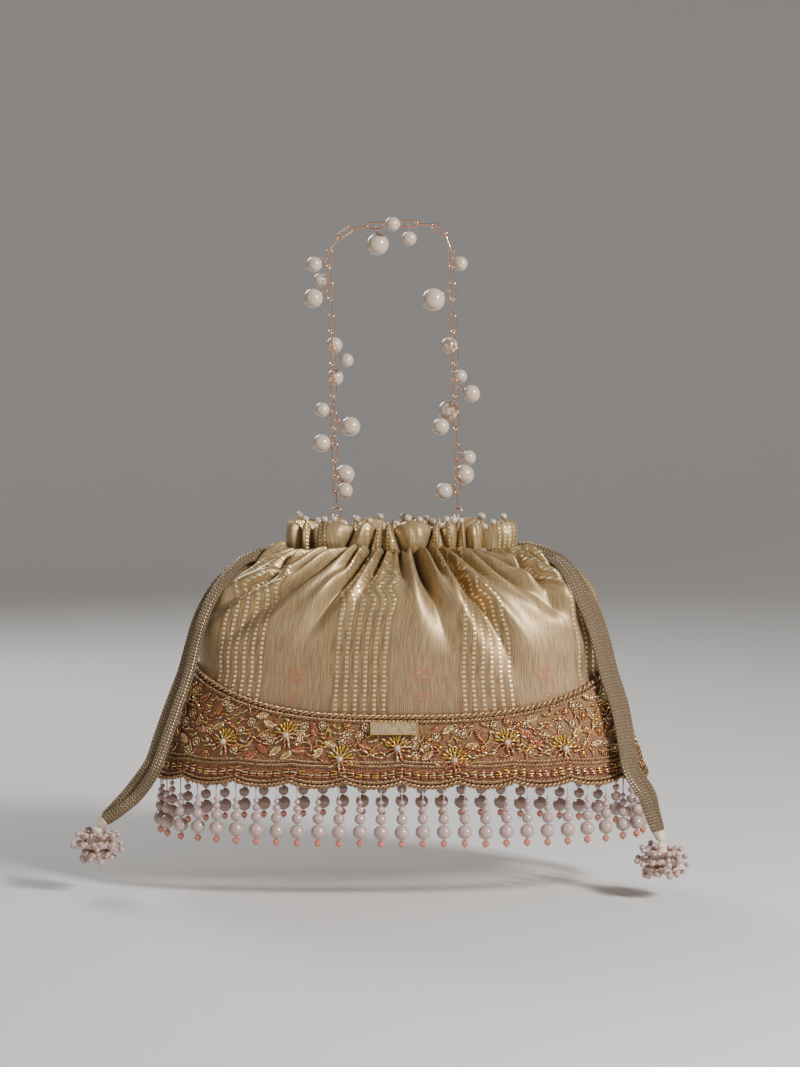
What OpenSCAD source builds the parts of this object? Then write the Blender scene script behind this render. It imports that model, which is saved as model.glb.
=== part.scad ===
// Drawstring evening bag: a brocade pouch on a stiff oval base, gathered at its neck by two
// braided drawstrings, with a beaded border, a pearl fringe and a pearl-hung chain handle.
// Frame: +Z up, -Y front. The origin is the middle of the chain handle, where a hand holds it.

/* [Pouch] */
// Width of the pouch at its base
base_w = 250; // [214:1:290]
// Depth of the pouch at its base
base_d = 92; // [78:1:108]
// Width of the pouch at its shoulder
shoulder_w = 212; // [180:1:244]
// Depth of the pouch at its shoulder
shoulder_d = 98; // [82:1:116]
// Height of the shoulder above the base
shoulder_h = 55; // [46:1:66]
// Width of the gathered neck
neck_w = 122; // [104:1:146]
// Depth of the gathered neck
neck_d = 33; // [28:1:40]
// Height of the pouch's gathered edge above the base
neck_h = 110; // [96:1:130]
// Thickness of the brocade with its interfacing
fabric_t = 1.2; // [0.8:0.1:1.6]
// Thickness of the lining
lining_t = 0.8; // [0.5:0.1:1.0]
// Thickness of the stiffener in the lower wall
stiffener_t = 1.5; // [1:0.1:2]
// Height of the stiffener in the lower wall
stiffener_h = 40; // [30:1:50]
// Thickness of the board in the base
board_t = 2.5; // [1.5:0.1:4]
// Thickness of the cloth sole under the board
sole_t = 1.5; // [1:0.1:2.5]

/* [Mouth] */
// Height of the drawstring casing
casing_h = 8.4; // [7.6:0.1:10]
// Thickness of the casing across the neck, over both its walls
casing_t = 4; // [3.6:0.1:5]
// Height of the ruffle above the casing
ruffle_h = 14.5; // [10:0.5:20]
// How far the ruffle's edge stands out past the casing
ruffle_flare = 3; // [1:0.5:5]
// Folds round the ruffle
ruffle_folds = 16; // [12:2:20]
// Depth of a ruffle fold at its edge, to each side
ruffle_wave = 2.2; // [1:0.1:3]
// Diameter of the pearls on the ruffle's edge
edge_pearl_d = 4; // [3:0.5:5]

/* [Border] */
// Thickness of the embroidered border
border_t = 2; // [1.5:0.1:3]
// Height of the border at the middle of the front and back
border_h = 33; // [26:1:40]
// Height of the border at its ends, at the side seams
border_side_h = 54; // [44:1:60]
// How deep the scallops hang under the base
scallop_drop = 3; // [2:0.5:5]
// Scallops round the whole hem
scallops = 20; // [16:2:24]
// Diameter of the twisted trim along the border's upper edge
trim_d = 2.2; // [1.6:0.1:3]
// Diameter of an embroidered flower
flower_d = 11.5; // [9:0.5:13]
// Length of a bugle bead in the border's beaded row
bugle_l = 4.4; // [3.5:0.1:5]
// Width of the blank label plate
label_w = 24; // [18:1:30]
// Height of the blank label plate
label_h = 6.5; // [5:0.5:8]

/* [Fringe] */
// Number of pearl strands in one swinging group
group_strands = 3; // [3:1:3]
// Number of swinging groups round the hem
fringe_groups = 18; // [14:2:18]
// Length of bare thread at the top of a strand
thread_l = 8.8; // [6:0.2:12]
// Diameters of a strand's pearls, from the top
strand_d = [2.8, 4, 5.8, 7.6];
// Diameter of the crystal at a strand's foot
crystal_d = 3.8; // [3:0.1:4.6]

/* [Chain handle] */
// Wire thickness of a link
wire_d = 0.8; // [0.6:0.05:1]
// Outer width of a link
link_w = 3.8; // [3.4:0.1:4.6]
// Distance from one link to the next
link_pitch = 8.4; // [7:0.1:10]
// Links in each leg of the handle
leg_links = 16; // [12:2:20]
// Lean of both legs towards the right, in degrees
leg_lean = 1.5; // [-4:0.5:4]
// Outer diameter of the jump ring at each end of the chain
ring_d = 5.9; // [5:0.1:8]

/* [Drawstrings] */
// Width of one leg of braided drawstring
cord_w = 6.2; // [5:0.1:6.6]
// Thickness of a drawstring leg
cord_t = 2.4; // [1.8:0.1:2.8]
// Diameter of the pearl cluster of a tassel
tassel_d = 31; // [26:1:38]
// Height of a tassel, from the foot of its cap
tassel_h = 20; // [16:1:24]

/* [Hidden] */
layer_gap = 0.3;        // air between two layers of cloth or board
border_gap = 1;         // air under the padded border
wire_gap = 0.2;         // slack where two pieces of wire hang in each other
squareness = 2.3;       // exponent of the oval: 2 is an ellipse
dome_power = 3;         // how late the pouch curves in towards its neck
dome_root = 0.55;       // how sharply it does so at the neck
sides = 48;             // steps round a plain shell
facets = 32;

// Directions of the links along the top of the handle, in degrees from +X
top_angles = [56, 33, 7, 4, 4, 2, -6, -38, -70];
// Pearls on the handle: [link, direction round the chain in degrees, diameter]; 0 is +X, 90 the back
top_charms = [[3, 270, 11.5], [4, 270, 7.6], [5, 270, 7.6]];
left_charms = [[0, 180, 8.2], [1, 150, 7.2], [2, 180, 10.2], [5, 80, 8.6], [6, 0, 7.2],
    [7, 80, 8.6], [10, 20, 10.2], [9, 200, 7.6], [11, 200, 9.2], [13, 50, 10.2], [14, 300, 8.4]];
right_charms = [[0, 60, 7.6], [2, 180, 12], [5, 110, 8.6], [7, 60, 7.4], [8, 0, 9.2],
    [9, 120, 10.6], [10, 200, 8.8], [12, 320, 7.6], [13, 60, 10.6], [14, 215, 8.8]];
// Where a drawstring lies on the pouch: [angle from +X, height above the base, distance off it]
left_drape = [[187, 106.5, 5.5], [195, 101, 5.4], [199, 92, 5.8], [199, 80, 6.4], [197, 67, 7.4],
    [196, 53, 10], [197, 37, 11.5], [198, 20, 13], [199, 5, 15]];
right_drape = [[-10, 106.5, 5.5], [-20, 101, 5.4], [-26, 92, 5.8], [-26, 80, 6.4], [-24, 67, 7.4],
    [-23, 53, 10], [-24, 37, 11.5], [-26, 20, 11.5], [-28, 5, 12]];
// Where it hangs free beyond the hem: [x past the base's half-width, y, height above the base]
left_hang = [[13, -24, -8], [21, -24, -16], [29, -23, -23]];
right_hang = [[1, -32, -8], [4, -34, -18], [7, -36, -27]];

// ---------- curves shared by the pieces ----------

function signed_power(v, p) = sign(v) * pow(abs(v), p);

// A point on an oval of half-width a and half-depth b
function oval(t, a, b) =
    [a * signed_power(cos(t), 2 / squareness), b * signed_power(sin(t), 2 / squareness)];

// Half of an oval's depth at x
function oval_y(x, a, b) = b * pow(1 - pow(min(abs(x) / a, 1), squareness), 1 / squareness);

// Share of the way from the neck to the shoulder: 1 at the shoulder, 0 at the neck
function dome(h) = pow(1 - pow(min(max((h - shoulder_h) / (neck_h - shoulder_h), 0), 1), dome_power),
    dome_root);

// Half-width and half-depth of the pouch's outside at a height
function pouch_a(h) = (h < shoulder_h)
    ? (base_w + (shoulder_w - base_w) * h / shoulder_h) / 2
    : (neck_w + (shoulder_w - neck_w) * dome(h)) / 2;
function pouch_b(h) = (h < shoulder_h)
    ? (base_d + (shoulder_d - base_d) * h / shoulder_h) / 2
    : (neck_d + (shoulder_d - neck_d) * dome(h)) / 2;

function at_pouch(t, h) = let (p = oval(t, pouch_a(h), pouch_b(h))) [p[0], p[1], h];
function unit(v) = v / norm(v);

// The pouch's outward normal at angle t and height h
function normal(t, h) = let (low = min(h, neck_h - 1))
    unit(cross(at_pouch(t + 2, h) - at_pouch(t - 2, h), at_pouch(t, low + 1) - at_pouch(t, low)));

// A point off clear of the pouch's outside: level with h under the shoulder, square to the dome above
function on_pouch(t, h, off) = (h < shoulder_h)
    ? let (p = oval(t, pouch_a(h) + off, pouch_b(h) + off)) [p[0], p[1], h]
    : at_pouch(t, h) + off * normal(t, h);

// Angle at a share of the way round the hem, by its length, from +X
hem_steps = 120;
hem_points = [for (i = [0:hem_steps]) oval(i * 360 / hem_steps, base_w / 2, base_d / 2)];
hem_lengths = [for (i = 0, s = 0; i <= hem_steps;
    s = s + norm(hem_points[min(i + 1, hem_steps)] - hem_points[i]), i = i + 1) s];
hem_table = [for (i = [0:hem_steps]) [hem_lengths[i] / hem_lengths[hem_steps], i * 360 / hem_steps]];
function hem_angle(share) = lookup(share - floor(share), hem_table);
function share_at(t) = lookup(t, [for (row = hem_table) [row[1], row[0]]]);

// Height of the border's scalloped foot and of its upper edge
function scallop_h(t) = -scallop_drop * pow(abs(sin(180 * scallops * share_at(t))), 0.7);
function border_top(t) = border_h + (border_side_h - border_h) * pow(abs(cos(t)), 2.6);

// ---------- solids made from loops ----------

// A solid along a row of equal loops; each loop runs up one side and down the other
module sweep(loops, closed = false) {
    n = len(loops);
    m = len(loops[0]);
    walls = [for (i = [0:(closed ? n - 1 : n - 2)], j = [0:m - 1])
        let (k = (i + 1) % n, l = (j + 1) % m)
        each [[i * m + j, k * m + j, k * m + l], [i * m + j, k * m + l, i * m + l]]];
    e = (n - 1) * m;
    caps = closed ? [] : [for (j = [0:m / 2 - 2])
        each [[j, j + 1, m - 2 - j], [j, m - 2 - j, m - 1 - j],
            [e + j, e + m - 2 - j, e + j + 1], [e + j, e + m - 1 - j, e + m - 2 - j]]];
    polyhedron([for (loop = loops) each loop], concat(walls, caps), 10);
}

// A shell that follows the pouch between two heights, off being its inner face's offset
module wall(low, high, off, t, rows = 6) {
    hs = [for (i = [0:rows]) high - (high - low) * pow(1 - i / rows, 2)];
    sweep([for (i = [0:sides - 1]) let (a = -i * 360 / sides) concat(
        [for (h = hs) on_pouch(a, h, off + t)],
        [for (j = [rows:-1:0]) on_pouch(a, hs[j], off)])], true);
}

// Directions along a path, as the mean of its two neighbours
function along(path, i) = let (d = path[min(i + 1, len(path) - 1)] - path[max(i - 1, 0)]) d / norm(d);

// A smooth curve through a list of points of any size
function smooth(pts, steps) = [for (i = [0:len(pts) - 2], k = [0:steps - 1]) let (
    u = k / steps, a = pts[max(i - 1, 0)], b = pts[i], c = pts[i + 1],
    d = pts[min(i + 2, len(pts) - 1)])
    0.5 * (2 * b + (c - a) * u + (2 * a - 5 * b + 4 * c - d) * u * u
        + (3 * b - a - 3 * c + d) * u * u * u), pts[len(pts) - 1]];

// Turns +Z along a direction, with +X kept as near level as it can be
module aim(at, dir) {
    d = unit(dir);
    translate(at)
        rotate([0, acos(d[2]), atan2(d[1], d[0])])
            children();
}

// Puts a piece on the border's outside, its +Z along the surface's outward normal
module on_border(t, h, lift) {
    off = border_gap + border_t + lift;
    aim(on_pouch(t, h, off), normal(t, h)) children();
}

// ---------- the handle's places ----------

wire_step = (wire_d + wire_gap) / 2;      // from where two links meet to either wire's middle
top_n = len(top_angles);
function heading(a) = [cos(a), 0, sin(a)];
top_raw = [for (i = 0, p = [0, 0, 0]; i <= top_n;
    p = p + link_pitch * heading(top_angles[min(i, top_n - 1)]), i = i + 1) p];
top_mid = (top_raw[floor(top_n / 2)] + top_raw[floor(top_n / 2) + 1]) / 2;
top_joints = [for (p = top_raw) p - top_mid];
down = heading(-90 + leg_lean);
// Middles of the wires that each leg turns on, and where its first link starts
left_pivot = top_joints[0] - wire_step * heading(top_angles[0]);
right_pivot = top_joints[top_n] + wire_step * heading(top_angles[top_n - 1]);
left_start = left_pivot - wire_step * down;
right_start = right_pivot - wire_step * down;
leg_l = leg_links * link_pitch;
left_foot = left_start + (leg_l + wire_step) * down;
right_foot = right_start + (leg_l + wire_step) * down;
// The jump rings hang on the legs' feet, and the bag hangs on the rings' lowest wire
ring_r = (ring_d - wire_d) / 2;
ring_hang = ring_r - wire_d - wire_gap;
left_ring = left_foot - [0, 0, ring_hang];
right_ring = right_foot - [0, 0, ring_hang];
left_axis = left_ring - [0, 0, ring_r];
right_axis = right_ring - [0, 0, ring_r];

// ---------- the bag's place under the handle ----------

casing_low = neck_h + layer_gap;
casing_top = casing_low + casing_h;
ruffle_low = casing_top + layer_gap;
ruffle_top = ruffle_low + ruffle_h;
axis_h = ruffle_top - 1;                  // the rings' wire, just under the ruffle's edge
bag_x = (left_axis[0] + right_axis[0]) / 2 + 2.5;
base_z = (left_axis[2] + right_axis[2]) / 2 - axis_h;
bag_origin = [bag_x, 0, base_z];
module in_bag() translate(bag_origin) children();
// Half-width and half-depth of the casing's middle line
casing_a = neck_w / 2 - casing_t / 2;
casing_b = neck_d / 2 - casing_t / 2;
casing_reach = casing_a - cord_w - 3;     // where each side of the casing ends

// ---------- pouch, lining and base ----------

module pouch() color([0.72, 0.62, 0.48]) in_bag() wall(0, neck_h, -fabric_t, fabric_t, 12);

module wall_stiffener() color([0.9, 0.9, 0.86]) in_bag()
    wall(sole_t + layer_gap, stiffener_h, -fabric_t - layer_gap - stiffener_t, stiffener_t, 2);

// The lining is a cup: its wall stands inside the stiffener, on a floor over the board
lining_off = -fabric_t - stiffener_t - 2 * layer_gap - lining_t;
lining_low = sole_t + board_t + 2 * layer_gap;
module lining() color([0.78, 0.66, 0.5]) in_bag() {
    wall(lining_low, neck_h - layer_gap, lining_off, lining_t, 12);
    flat_oval(lining_low, lining_t, lining_off + lining_t / 2);
}

// A flat oval sheet between two heights that stays off clear of the pouch's outside
module flat_oval(h, t, off) translate([0, 0, h]) linear_extrude(t)
    polygon([for (i = [0:sides - 1]) oval(i * 360 / sides, min(pouch_a(h), pouch_a(h + t)) + off,
        min(pouch_b(h), pouch_b(h + t)) + off)]);

module base_board() color([0.55, 0.42, 0.3]) in_bag()
    flat_oval(sole_t + layer_gap, board_t, -fabric_t - stiffener_t - 3 * layer_gap);

module sole() color([0.6, 0.5, 0.38]) in_bag() flat_oval(0, sole_t, -fabric_t - layer_gap);

// ---------- mouth ----------

// One side of the casing: a strip folded over the cords, open below and at both ends
module casing(side) {
    reach = casing_reach;
    n = 22;
    skin_t = fabric_t - 0.4;
    sweep([for (i = [0:n]) let (
        x = side * reach * (1 - 2 * i / n),
        y = side * oval_y(x, casing_a, casing_b),
        out = unit([x / pow(casing_a, 2), y / pow(casing_b, 2)]),
        face = casing_t / 2,
        inner = face - skin_t)
        [for (p = [[face, 0], [face, casing_h], [-face, casing_h], [-face, 0],
            [-inner, 0], [-inner, casing_h - skin_t], [inner, casing_h - skin_t], [inner, 0]])
            [x + out[0] * p[0], y + out[1] * p[0], casing_low + p[1]]]]);
}
module front_casing() color([0.7, 0.6, 0.46]) in_bag() casing(-1);
module back_casing() color([0.7, 0.6, 0.46]) in_bag() casing(1);

// The two drawstrings' hidden runs, one over the other in a side's casing
module channel_cords(side) {
    reach = casing_reach - 2;
    n = 18;
    run_h = (casing_h - fabric_t) / 2 - layer_gap;
    run_t = casing_t - 2 * fabric_t;
    for (k = [0, 1])
        sweep([for (i = [0:n]) let (
            x = side * reach * (1 - 2 * i / n),
            y = side * oval_y(x, casing_a, casing_b),
            out = unit([x / pow(casing_a, 2), y / pow(casing_b, 2)]),
            mid = casing_low + layer_gap / 2 + (run_h + layer_gap) * k + run_h / 2)
            [for (a = [0:45:315]) [x + out[0] * run_t / 2 * cos(a), y + out[1] * run_t / 2 * cos(a),
                mid + run_h / 2 * sin(a)]]]);
}
module front_channel_cords() color([0.56, 0.48, 0.36]) in_bag() channel_cords(-1);
module back_channel_cords() color([0.56, 0.48, 0.36]) in_bag() channel_cords(1);

// The ruffle's middle line: folds that deepen towards its flared edge
function ruffle_point(t, k, off) =
    let (wave = ruffle_wave * (0.35 + 0.65 * k) * cos(360 * ruffle_folds * share_at(t)),
        r = wave + ruffle_flare * k + off - casing_t / 2 - ruffle_wave,
        p = oval(t, neck_w / 2 + r, neck_d / 2 + r))
    [p[0], p[1], ruffle_low + ruffle_h * k];
ruffle_angles = [for (i = [0:8 * ruffle_folds - 1]) hem_angle(1 - i / (8 * ruffle_folds))];
module mouth_ruffle() color([0.74, 0.65, 0.51]) in_bag()
    sweep([for (t = ruffle_angles) concat(
        [for (k = [0:0.5:1]) ruffle_point(t, k, fabric_t / 2)],
        [for (k = [1:-0.5:0]) ruffle_point(t, k, -fabric_t / 2)])], true);

module ruffle_pearls() color([0.95, 0.92, 0.88]) in_bag()
    for (i = [0:ruffle_folds - 1]) {
        p = ruffle_point(hem_angle(i / ruffle_folds), 1, 0);
        translate([p[0], p[1], p[2] + edge_pearl_d / 2 + layer_gap])
            sphere(d = edge_pearl_d, $fn = facets);
    }

// ---------- embroidered border ----------

seam_angle = 0.5;       // half the angle left open between front and back border at a side seam
module border(side) {
    n = 60;
    rows = 3;
    sweep([for (i = [0:n]) let (
        t = side * (180 - seam_angle - (180 - 2 * seam_angle) * i / n),
        low = scallop_h(abs(t)), high = border_top(t)) concat(
        [for (k = [0:rows]) on_pouch(t, low + (high - low) * k / rows, border_gap + border_t)],
        [for (k = [rows:-1:0]) on_pouch(t, low + (high - low) * k / rows, border_gap)])]);
}
module front_border() color([0.55, 0.38, 0.28]) in_bag() border(-1);
module back_border() color([0.55, 0.38, 0.28]) in_bag() mirror([0, 1, 0]) border(-1);

// The twisted trim lies along the border's upper edge
module border_trim() {
    n = 48;
    trim_off = border_gap + border_t / 2;
    path = [for (i = [0:n]) let (t = -180 + seam_angle + (180 - 2 * seam_angle) * i / n)
        on_pouch(t, border_top(t) + trim_d / 2 + layer_gap, trim_off)];
    sweep([for (i = [0:n]) let (
        d = along(path, i), up = unit([0, 0, 1] - d[2] * d), out = cross(d, up))
        [for (a = [0:60:300]) path[i] + trim_d / 2 * (out * cos(a) + up * sin(a))]]);
}
module front_border_trim() color([0.62, 0.48, 0.36]) in_bag() border_trim();
module back_border_trim() color([0.62, 0.48, 0.36]) in_bag() mirror([0, 1, 0]) border_trim();

// Where the flowers stand: [share of the half-width, share of the border's height]
flower_spots = [[-0.97, 0.74], [-0.76, 0.47], [-0.5, 0.69], [-0.26, 0.38], [-0.02, 0.56],
    [0.22, 0.36], [0.45, 0.6], [0.69, 0.42], [0.94, 0.72]];
module flowers() for (spot = flower_spots) {
    t = -acos(signed_power(spot[0], squareness / 2));
    on_border(t, spot[1] * border_top(t), layer_gap) {
        cylinder(d = flower_d, h = 1, $fn = facets);
        translate([0, 0, 1.4]) sphere(d = 3, $fn = facets);
    }
}
module front_flowers() color([0.8, 0.58, 0.2]) in_bag() flowers();
module back_flowers() color([0.8, 0.58, 0.2]) in_bag() mirror([0, 1, 0]) flowers();

// A row of bugle beads follows the hem, each lying along it
bugle_count = 44;
module bugle_beads() for (i = [0:bugle_count - 1]) {
    t = -hem_angle(0.5 * (i + 0.5) / bugle_count);
    near = on_pouch(t - 1, 3, border_gap + border_t + 1.1);
    far = on_pouch(t + 1, 3, border_gap + border_t + 1.1);
    aim((near + far) / 2, far - near) cylinder(d = 1.4, h = bugle_l, center = true, $fn = facets);
}
module front_bugle_beads() color([0.82, 0.66, 0.42]) in_bag() bugle_beads();
module back_bugle_beads() color([0.82, 0.66, 0.42]) in_bag() mirror([0, 1, 0]) bugle_beads();

label_x = -4;           // the label sits a little left of the middle
label_lift = 0.8;       // clear of the border's curve at the plate's ends
module label_plate() color([0.78, 0.68, 0.44]) in_bag() {
    h = border_h - label_h / 2 - 1;
    face = oval_y(label_x, pouch_a(h), pouch_b(h)) + border_gap + border_t + label_lift;
    translate([label_x - label_w / 2, -face - 0.8, h - label_h / 2]) cube([label_w, 0.8, label_h]);
}

// ---------- fringe ----------

strands = group_strands * fringe_groups;
bead_gap = 0.25;
strand_thread_d = 0.8;
strand_start = 0.9;     // slack between the hem and a strand's thread
// Depth below the hem of the middle of each pearl
strand_mid = [for (i = 0, z = thread_l; i < len(strand_d);
    z = z + strand_d[i] + bead_gap, i = i + 1) z + strand_d[i] / 2];
crystal_top = strand_mid[len(strand_d) - 1] + strand_d[len(strand_d) - 1] / 2 + bead_gap;
module strand() {
    translate([0, 0, -crystal_top - crystal_d / 2])
        cylinder(d = strand_thread_d, h = crystal_top + crystal_d / 2 - strand_start, $fn = facets);
    for (i = [0:len(strand_d) - 1])
        translate([0, 0, -strand_mid[i]]) sphere(d = strand_d[i], $fn = facets);
    translate([0, 0, -crystal_top - crystal_d / 2])
        cylinder(d1 = crystal_d, d2 = crystal_d / 3, h = crystal_d / 2, $fn = facets);
    translate([0, 0, -crystal_top - crystal_d])
        cylinder(d1 = crystal_d / 3, d2 = crystal_d, h = crystal_d / 2, $fn = facets);
}
function strand_top(i) = let (t = hem_angle((i + 0.5) / strands),
    p = on_pouch(t, 0, border_gap + border_t / 2)) [p[0], p[1], scallop_h(t)];
module fringe_group(g) color([0.93, 0.88, 0.86]) in_bag()
    for (i = [0:group_strands - 1]) translate(strand_top(group_strands * g + i)) strand();

// ---------- chain handle ----------

// One link, its inside reaching from [0, 0, 0] to [0, 0, pitch], flat in the XZ plane
module link() {
    r = (link_w - wire_d) / 2;
    straight = link_pitch + 2 * wire_step - 2 * r;
    translate([0, 0, r - wire_step]) {
        for (x = [-r, r]) translate([x, 0, 0]) cylinder(d = wire_d, h = straight, $fn = facets);
        rotate([-90, 0, 0])
            rotate_extrude(angle = 180, $fn = 48)
                translate([r, 0]) circle(d = wire_d, $fn = facets);
        translate([0, 0, straight]) rotate([90, 0, 0])
            rotate_extrude(angle = 180, $fn = 48)
                translate([r, 0]) circle(d = wire_d, $fn = facets);
    }
}

// Carries a piece from the XZ plane's +Z onto a heading in that plane
module along_chain(at, dir) translate(at) rotate([0, atan2(dir[0], dir[2]), 0]) children();

// Even links lie across the handle's plane when turned, odd ones in it
module chain(start, dir, n, first_turn) for (i = [0:n - 1])
    along_chain(start + i * link_pitch * dir, dir) rotate([0, 0, first_turn + (i % 2) * 90]) link();

module top_links() color([0.83, 0.6, 0.5]) for (i = [0:top_n - 1])
    along_chain(top_joints[i], heading(top_angles[i])) rotate([0, 0, 90 * ((i + 1) % 2)]) link();
module left_leg_links() color([0.83, 0.6, 0.5]) chain(left_start, down, leg_links, 0);
module right_leg_links() color([0.83, 0.6, 0.5]) chain(right_start, down, leg_links, 0);

// A pearl on a small wire eye that hangs on the side wire of a link
eye_r = 1.4;
eye_wire = 0.6;
eye_slack = 0.6;        // how far outside the link's wire the eye is centred
module charm(at, dir, turned, angle, d, drop) {
    r = (link_w - wire_d) / 2;
    side = turned ? [0, sin(angle) < 0 ? -r : r] : [cos(angle) < 0 ? -r : r, 0];
    toward = [cos(angle), sin(angle)];
    eye = side + eye_slack * toward;
    out = eye + toward * (eye_r + 0.4 + d / 2);
    hang = [out[0], out[1], drop];
    pin = hang - [eye[0] + toward[0] * eye_r, eye[1] + toward[1] * eye_r, 0];
    along_chain(at, dir) {
        translate([eye[0], eye[1], 0])
            rotate_extrude($fn = 48)
                translate([eye_r, 0]) circle(d = eye_wire, $fn = facets);
        aim(hang - pin, pin) cylinder(d = eye_wire - 0.1, h = norm(pin), $fn = facets);
        translate(hang) sphere(d = d, $fn = facets);
    }
}
module leg_charms(start, charms) for (c = charms)
    charm(start + (c[0] + 0.5) * link_pitch * down, down, c[0] % 2 == 1, 180 - c[1], c[2], 0.35 * c[2]);
module left_leg_pearls() color([0.95, 0.92, 0.87]) leg_charms(left_start, left_charms);
module right_leg_pearls() color([0.95, 0.92, 0.87]) leg_charms(right_start, right_charms);
module top_pearls() color([0.95, 0.92, 0.87]) for (c = top_charms) {
    turned = c[0] % 2 == 0;
    charm((top_joints[c[0]] + top_joints[c[0] + 1]) / 2, heading(top_angles[c[0]]),
        turned, turned ? c[1] : 0, c[2], 0);
}

module end_ring(at) translate(at) rotate([90, 0, 0]) rotate_extrude($fn = 64)
    translate([ring_r, 0]) circle(d = wire_d, $fn = facets);
module left_end_ring() color([0.83, 0.6, 0.5]) end_ring(left_ring);
module right_end_ring() color([0.83, 0.6, 0.5]) end_ring(right_ring);

// A thread eye round the ring's lowest wire, on a stem sewn to the inside of the back casing
anchor_wire = 1;
anchor_r = 1.7;
module handle_anchor(axis) {
    eye = axis - [0, 0, anchor_r - wire_d / 2 - anchor_wire / 2 - wire_gap];
    x = axis[0] - bag_x;
    pad_y = oval_y(x, casing_a, casing_b) - casing_t / 2 - 1.9;
    pad = [axis[0], pad_y, base_z + casing_low + casing_h / 2];
    foot = eye - [0, 0, anchor_r];
    translate(eye) rotate([0, 90, 0])
        rotate_extrude($fn = 48)
            translate([anchor_r, 0]) circle(d = anchor_wire, $fn = facets);
    aim(foot, pad - foot) cylinder(d = anchor_wire * 1.6, h = norm(pad - foot), $fn = facets);
    translate(pad - [3, 0.6, casing_h / 2]) cube([6, 1.2, casing_h]);
}
module left_handle_anchor() color([0.8, 0.7, 0.55]) handle_anchor(left_axis);
module right_handle_anchor() color([0.8, 0.7, 0.55]) handle_anchor(right_axis);

// ---------- drawstrings and tassels ----------

leg_spread = 2.7;       // how far the two legs slide apart sideways along their way
late_spread = [2.2, 1.1];       // how late they do so, on the left and on the right
cord_turn = 1.6;        // how much the legs turn their flat side to the front
leg_apart = (cord_t + layer_gap) / 2;
neck_run = [0, 4, 8, 14];       // steps out of the casing, and how far each leg still is aside
neck_aside = [casing_b * 0.52, casing_b * 0.3, casing_b * 0.1, 0];
// A drawstring's way: [x, y, z, facing x, y, z, how far aside]; hand is -1 on the left, 1 on the right
function route(hand, drape, hang) = concat(
    [for (i = [0:3]) [hand * (casing_reach + 1 + neck_run[i]), 0, casing_low + casing_h / 2,
        0, -1, 0, neck_aside[i]]],
    [for (d = drape) let (p = on_pouch(d[0], d[1], d[2]), n = unit(normal(d[0], d[1])
        + [0, -cord_turn, 0])) concat(p, n, [0])],
    [for (h = hang) [hand * (base_w / 2 + h[0]), h[1], h[2], -0.2 * hand, -0.95, 0.2, 0]]);
left_route = route(-1, left_drape, left_hang);
right_route = route(1, right_drape, right_hang);
function first3(v) = [v[0], v[1], v[2]];
// One flat leg of a drawstring; side 1 is the front leg
module cord_leg(way, side) {
    line = smooth(way, 2);
    n = len(line);
    path = [for (p = line) first3(p)];
    hand = way[0][0] < 0 ? -1 : 1;
    sweep([for (i = [0:n - 1]) let (
        d = along(path, i),
        facing = [line[i][3], line[i][4], line[i][5]],
        o = unit(facing - (facing * d) * d),
        w = cross(d, o),
        share = i / (n - 1),
        spread = leg_spread * pow(max(sin(180 * pow(share, late_spread[hand < 0 ? 0 : 1])), 0), 0.7),
        mid = path[i] + side * (leg_apart * o + hand * spread * w) - side * [0, line[i][6], 0])
        [for (a = [0:36:324]) mid + cord_w / 2 * cos(a) * w + cord_t / 2 * sin(a) * o]]);
}
module left_cord_front_leg() color([0.6, 0.53, 0.4]) in_bag() cord_leg(left_route, 1);
module left_cord_back_leg() color([0.6, 0.53, 0.4]) in_bag() cord_leg(left_route, -1);
module right_cord_front_leg() color([0.6, 0.53, 0.4]) in_bag() cord_leg(right_route, 1);
module right_cord_back_leg() color([0.6, 0.53, 0.4]) in_bag() cord_leg(right_route, -1);

// The cream thread that binds both legs' ends, and the tassel's cap that hangs under it
function cord_end(way) = first3(way[len(way) - 1]);
function cord_run(way) = unit(cord_end(way) - first3(way[len(way) - 2]));
binding_h = 4;
module cord_binding(way) aim(cord_end(way) + layer_gap * cord_run(way), cord_run(way))
    cylinder(d1 = cord_w, d2 = cord_w - 1.6, h = binding_h, $fn = facets);
module left_cord_binding() color([0.85, 0.75, 0.65]) in_bag() cord_binding(left_route);
module right_cord_binding() color([0.85, 0.75, 0.65]) in_bag() cord_binding(right_route);

function tassel_top(way) = cord_end(way) + (binding_h + 1.6) * cord_run(way) - [0, 0, 1.4];
cap_w = 15;
cap_h = 10;
module tassel_cap(way) translate(tassel_top(way)) rotate_extrude($fn = 64)
    polygon([[0, 0], [2.6, -0.4], [3.4, -3], [cap_w / 2 - 1, -cap_h + 3], [cap_w / 2, -cap_h], [0, -cap_h]]);
module left_tassel_cap() color([0.85, 0.75, 0.63]) in_bag() tassel_cap(left_route);
module right_tassel_cap() color([0.85, 0.75, 0.63]) in_bag() tassel_cap(right_route);

// Tiers of small pearls on a thread ring; each tier is one strung piece
tier_pearl_d = 4.2;
tiers = 3;
module tassel_pearls(way) translate(tassel_top(way)) for (k = [0:tiers - 1]) {
    r = (tassel_d - tier_pearl_d) / 2 * [0.68, 1, 0.74][k];
    n = floor(360 / (2 * asin((tier_pearl_d + 0.5) / 2 / r)));
    translate([0, 0, -cap_h + 2.8 - k * (tassel_h - cap_h / 2) / tiers]) {
        for (i = [0:n - 1])
            rotate([0, 0, 360 * i / n]) translate([r, 0, 0]) sphere(d = tier_pearl_d, $fn = facets);
        rotate_extrude($fn = 64) translate([r, 0]) circle(d = 1, $fn = facets);
    }
}
module left_tassel_pearls() color([0.93, 0.83, 0.78]) in_bag() tassel_pearls(left_route);
module right_tassel_pearls() color([0.93, 0.83, 0.78]) in_bag() tassel_pearls(right_route);

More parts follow.
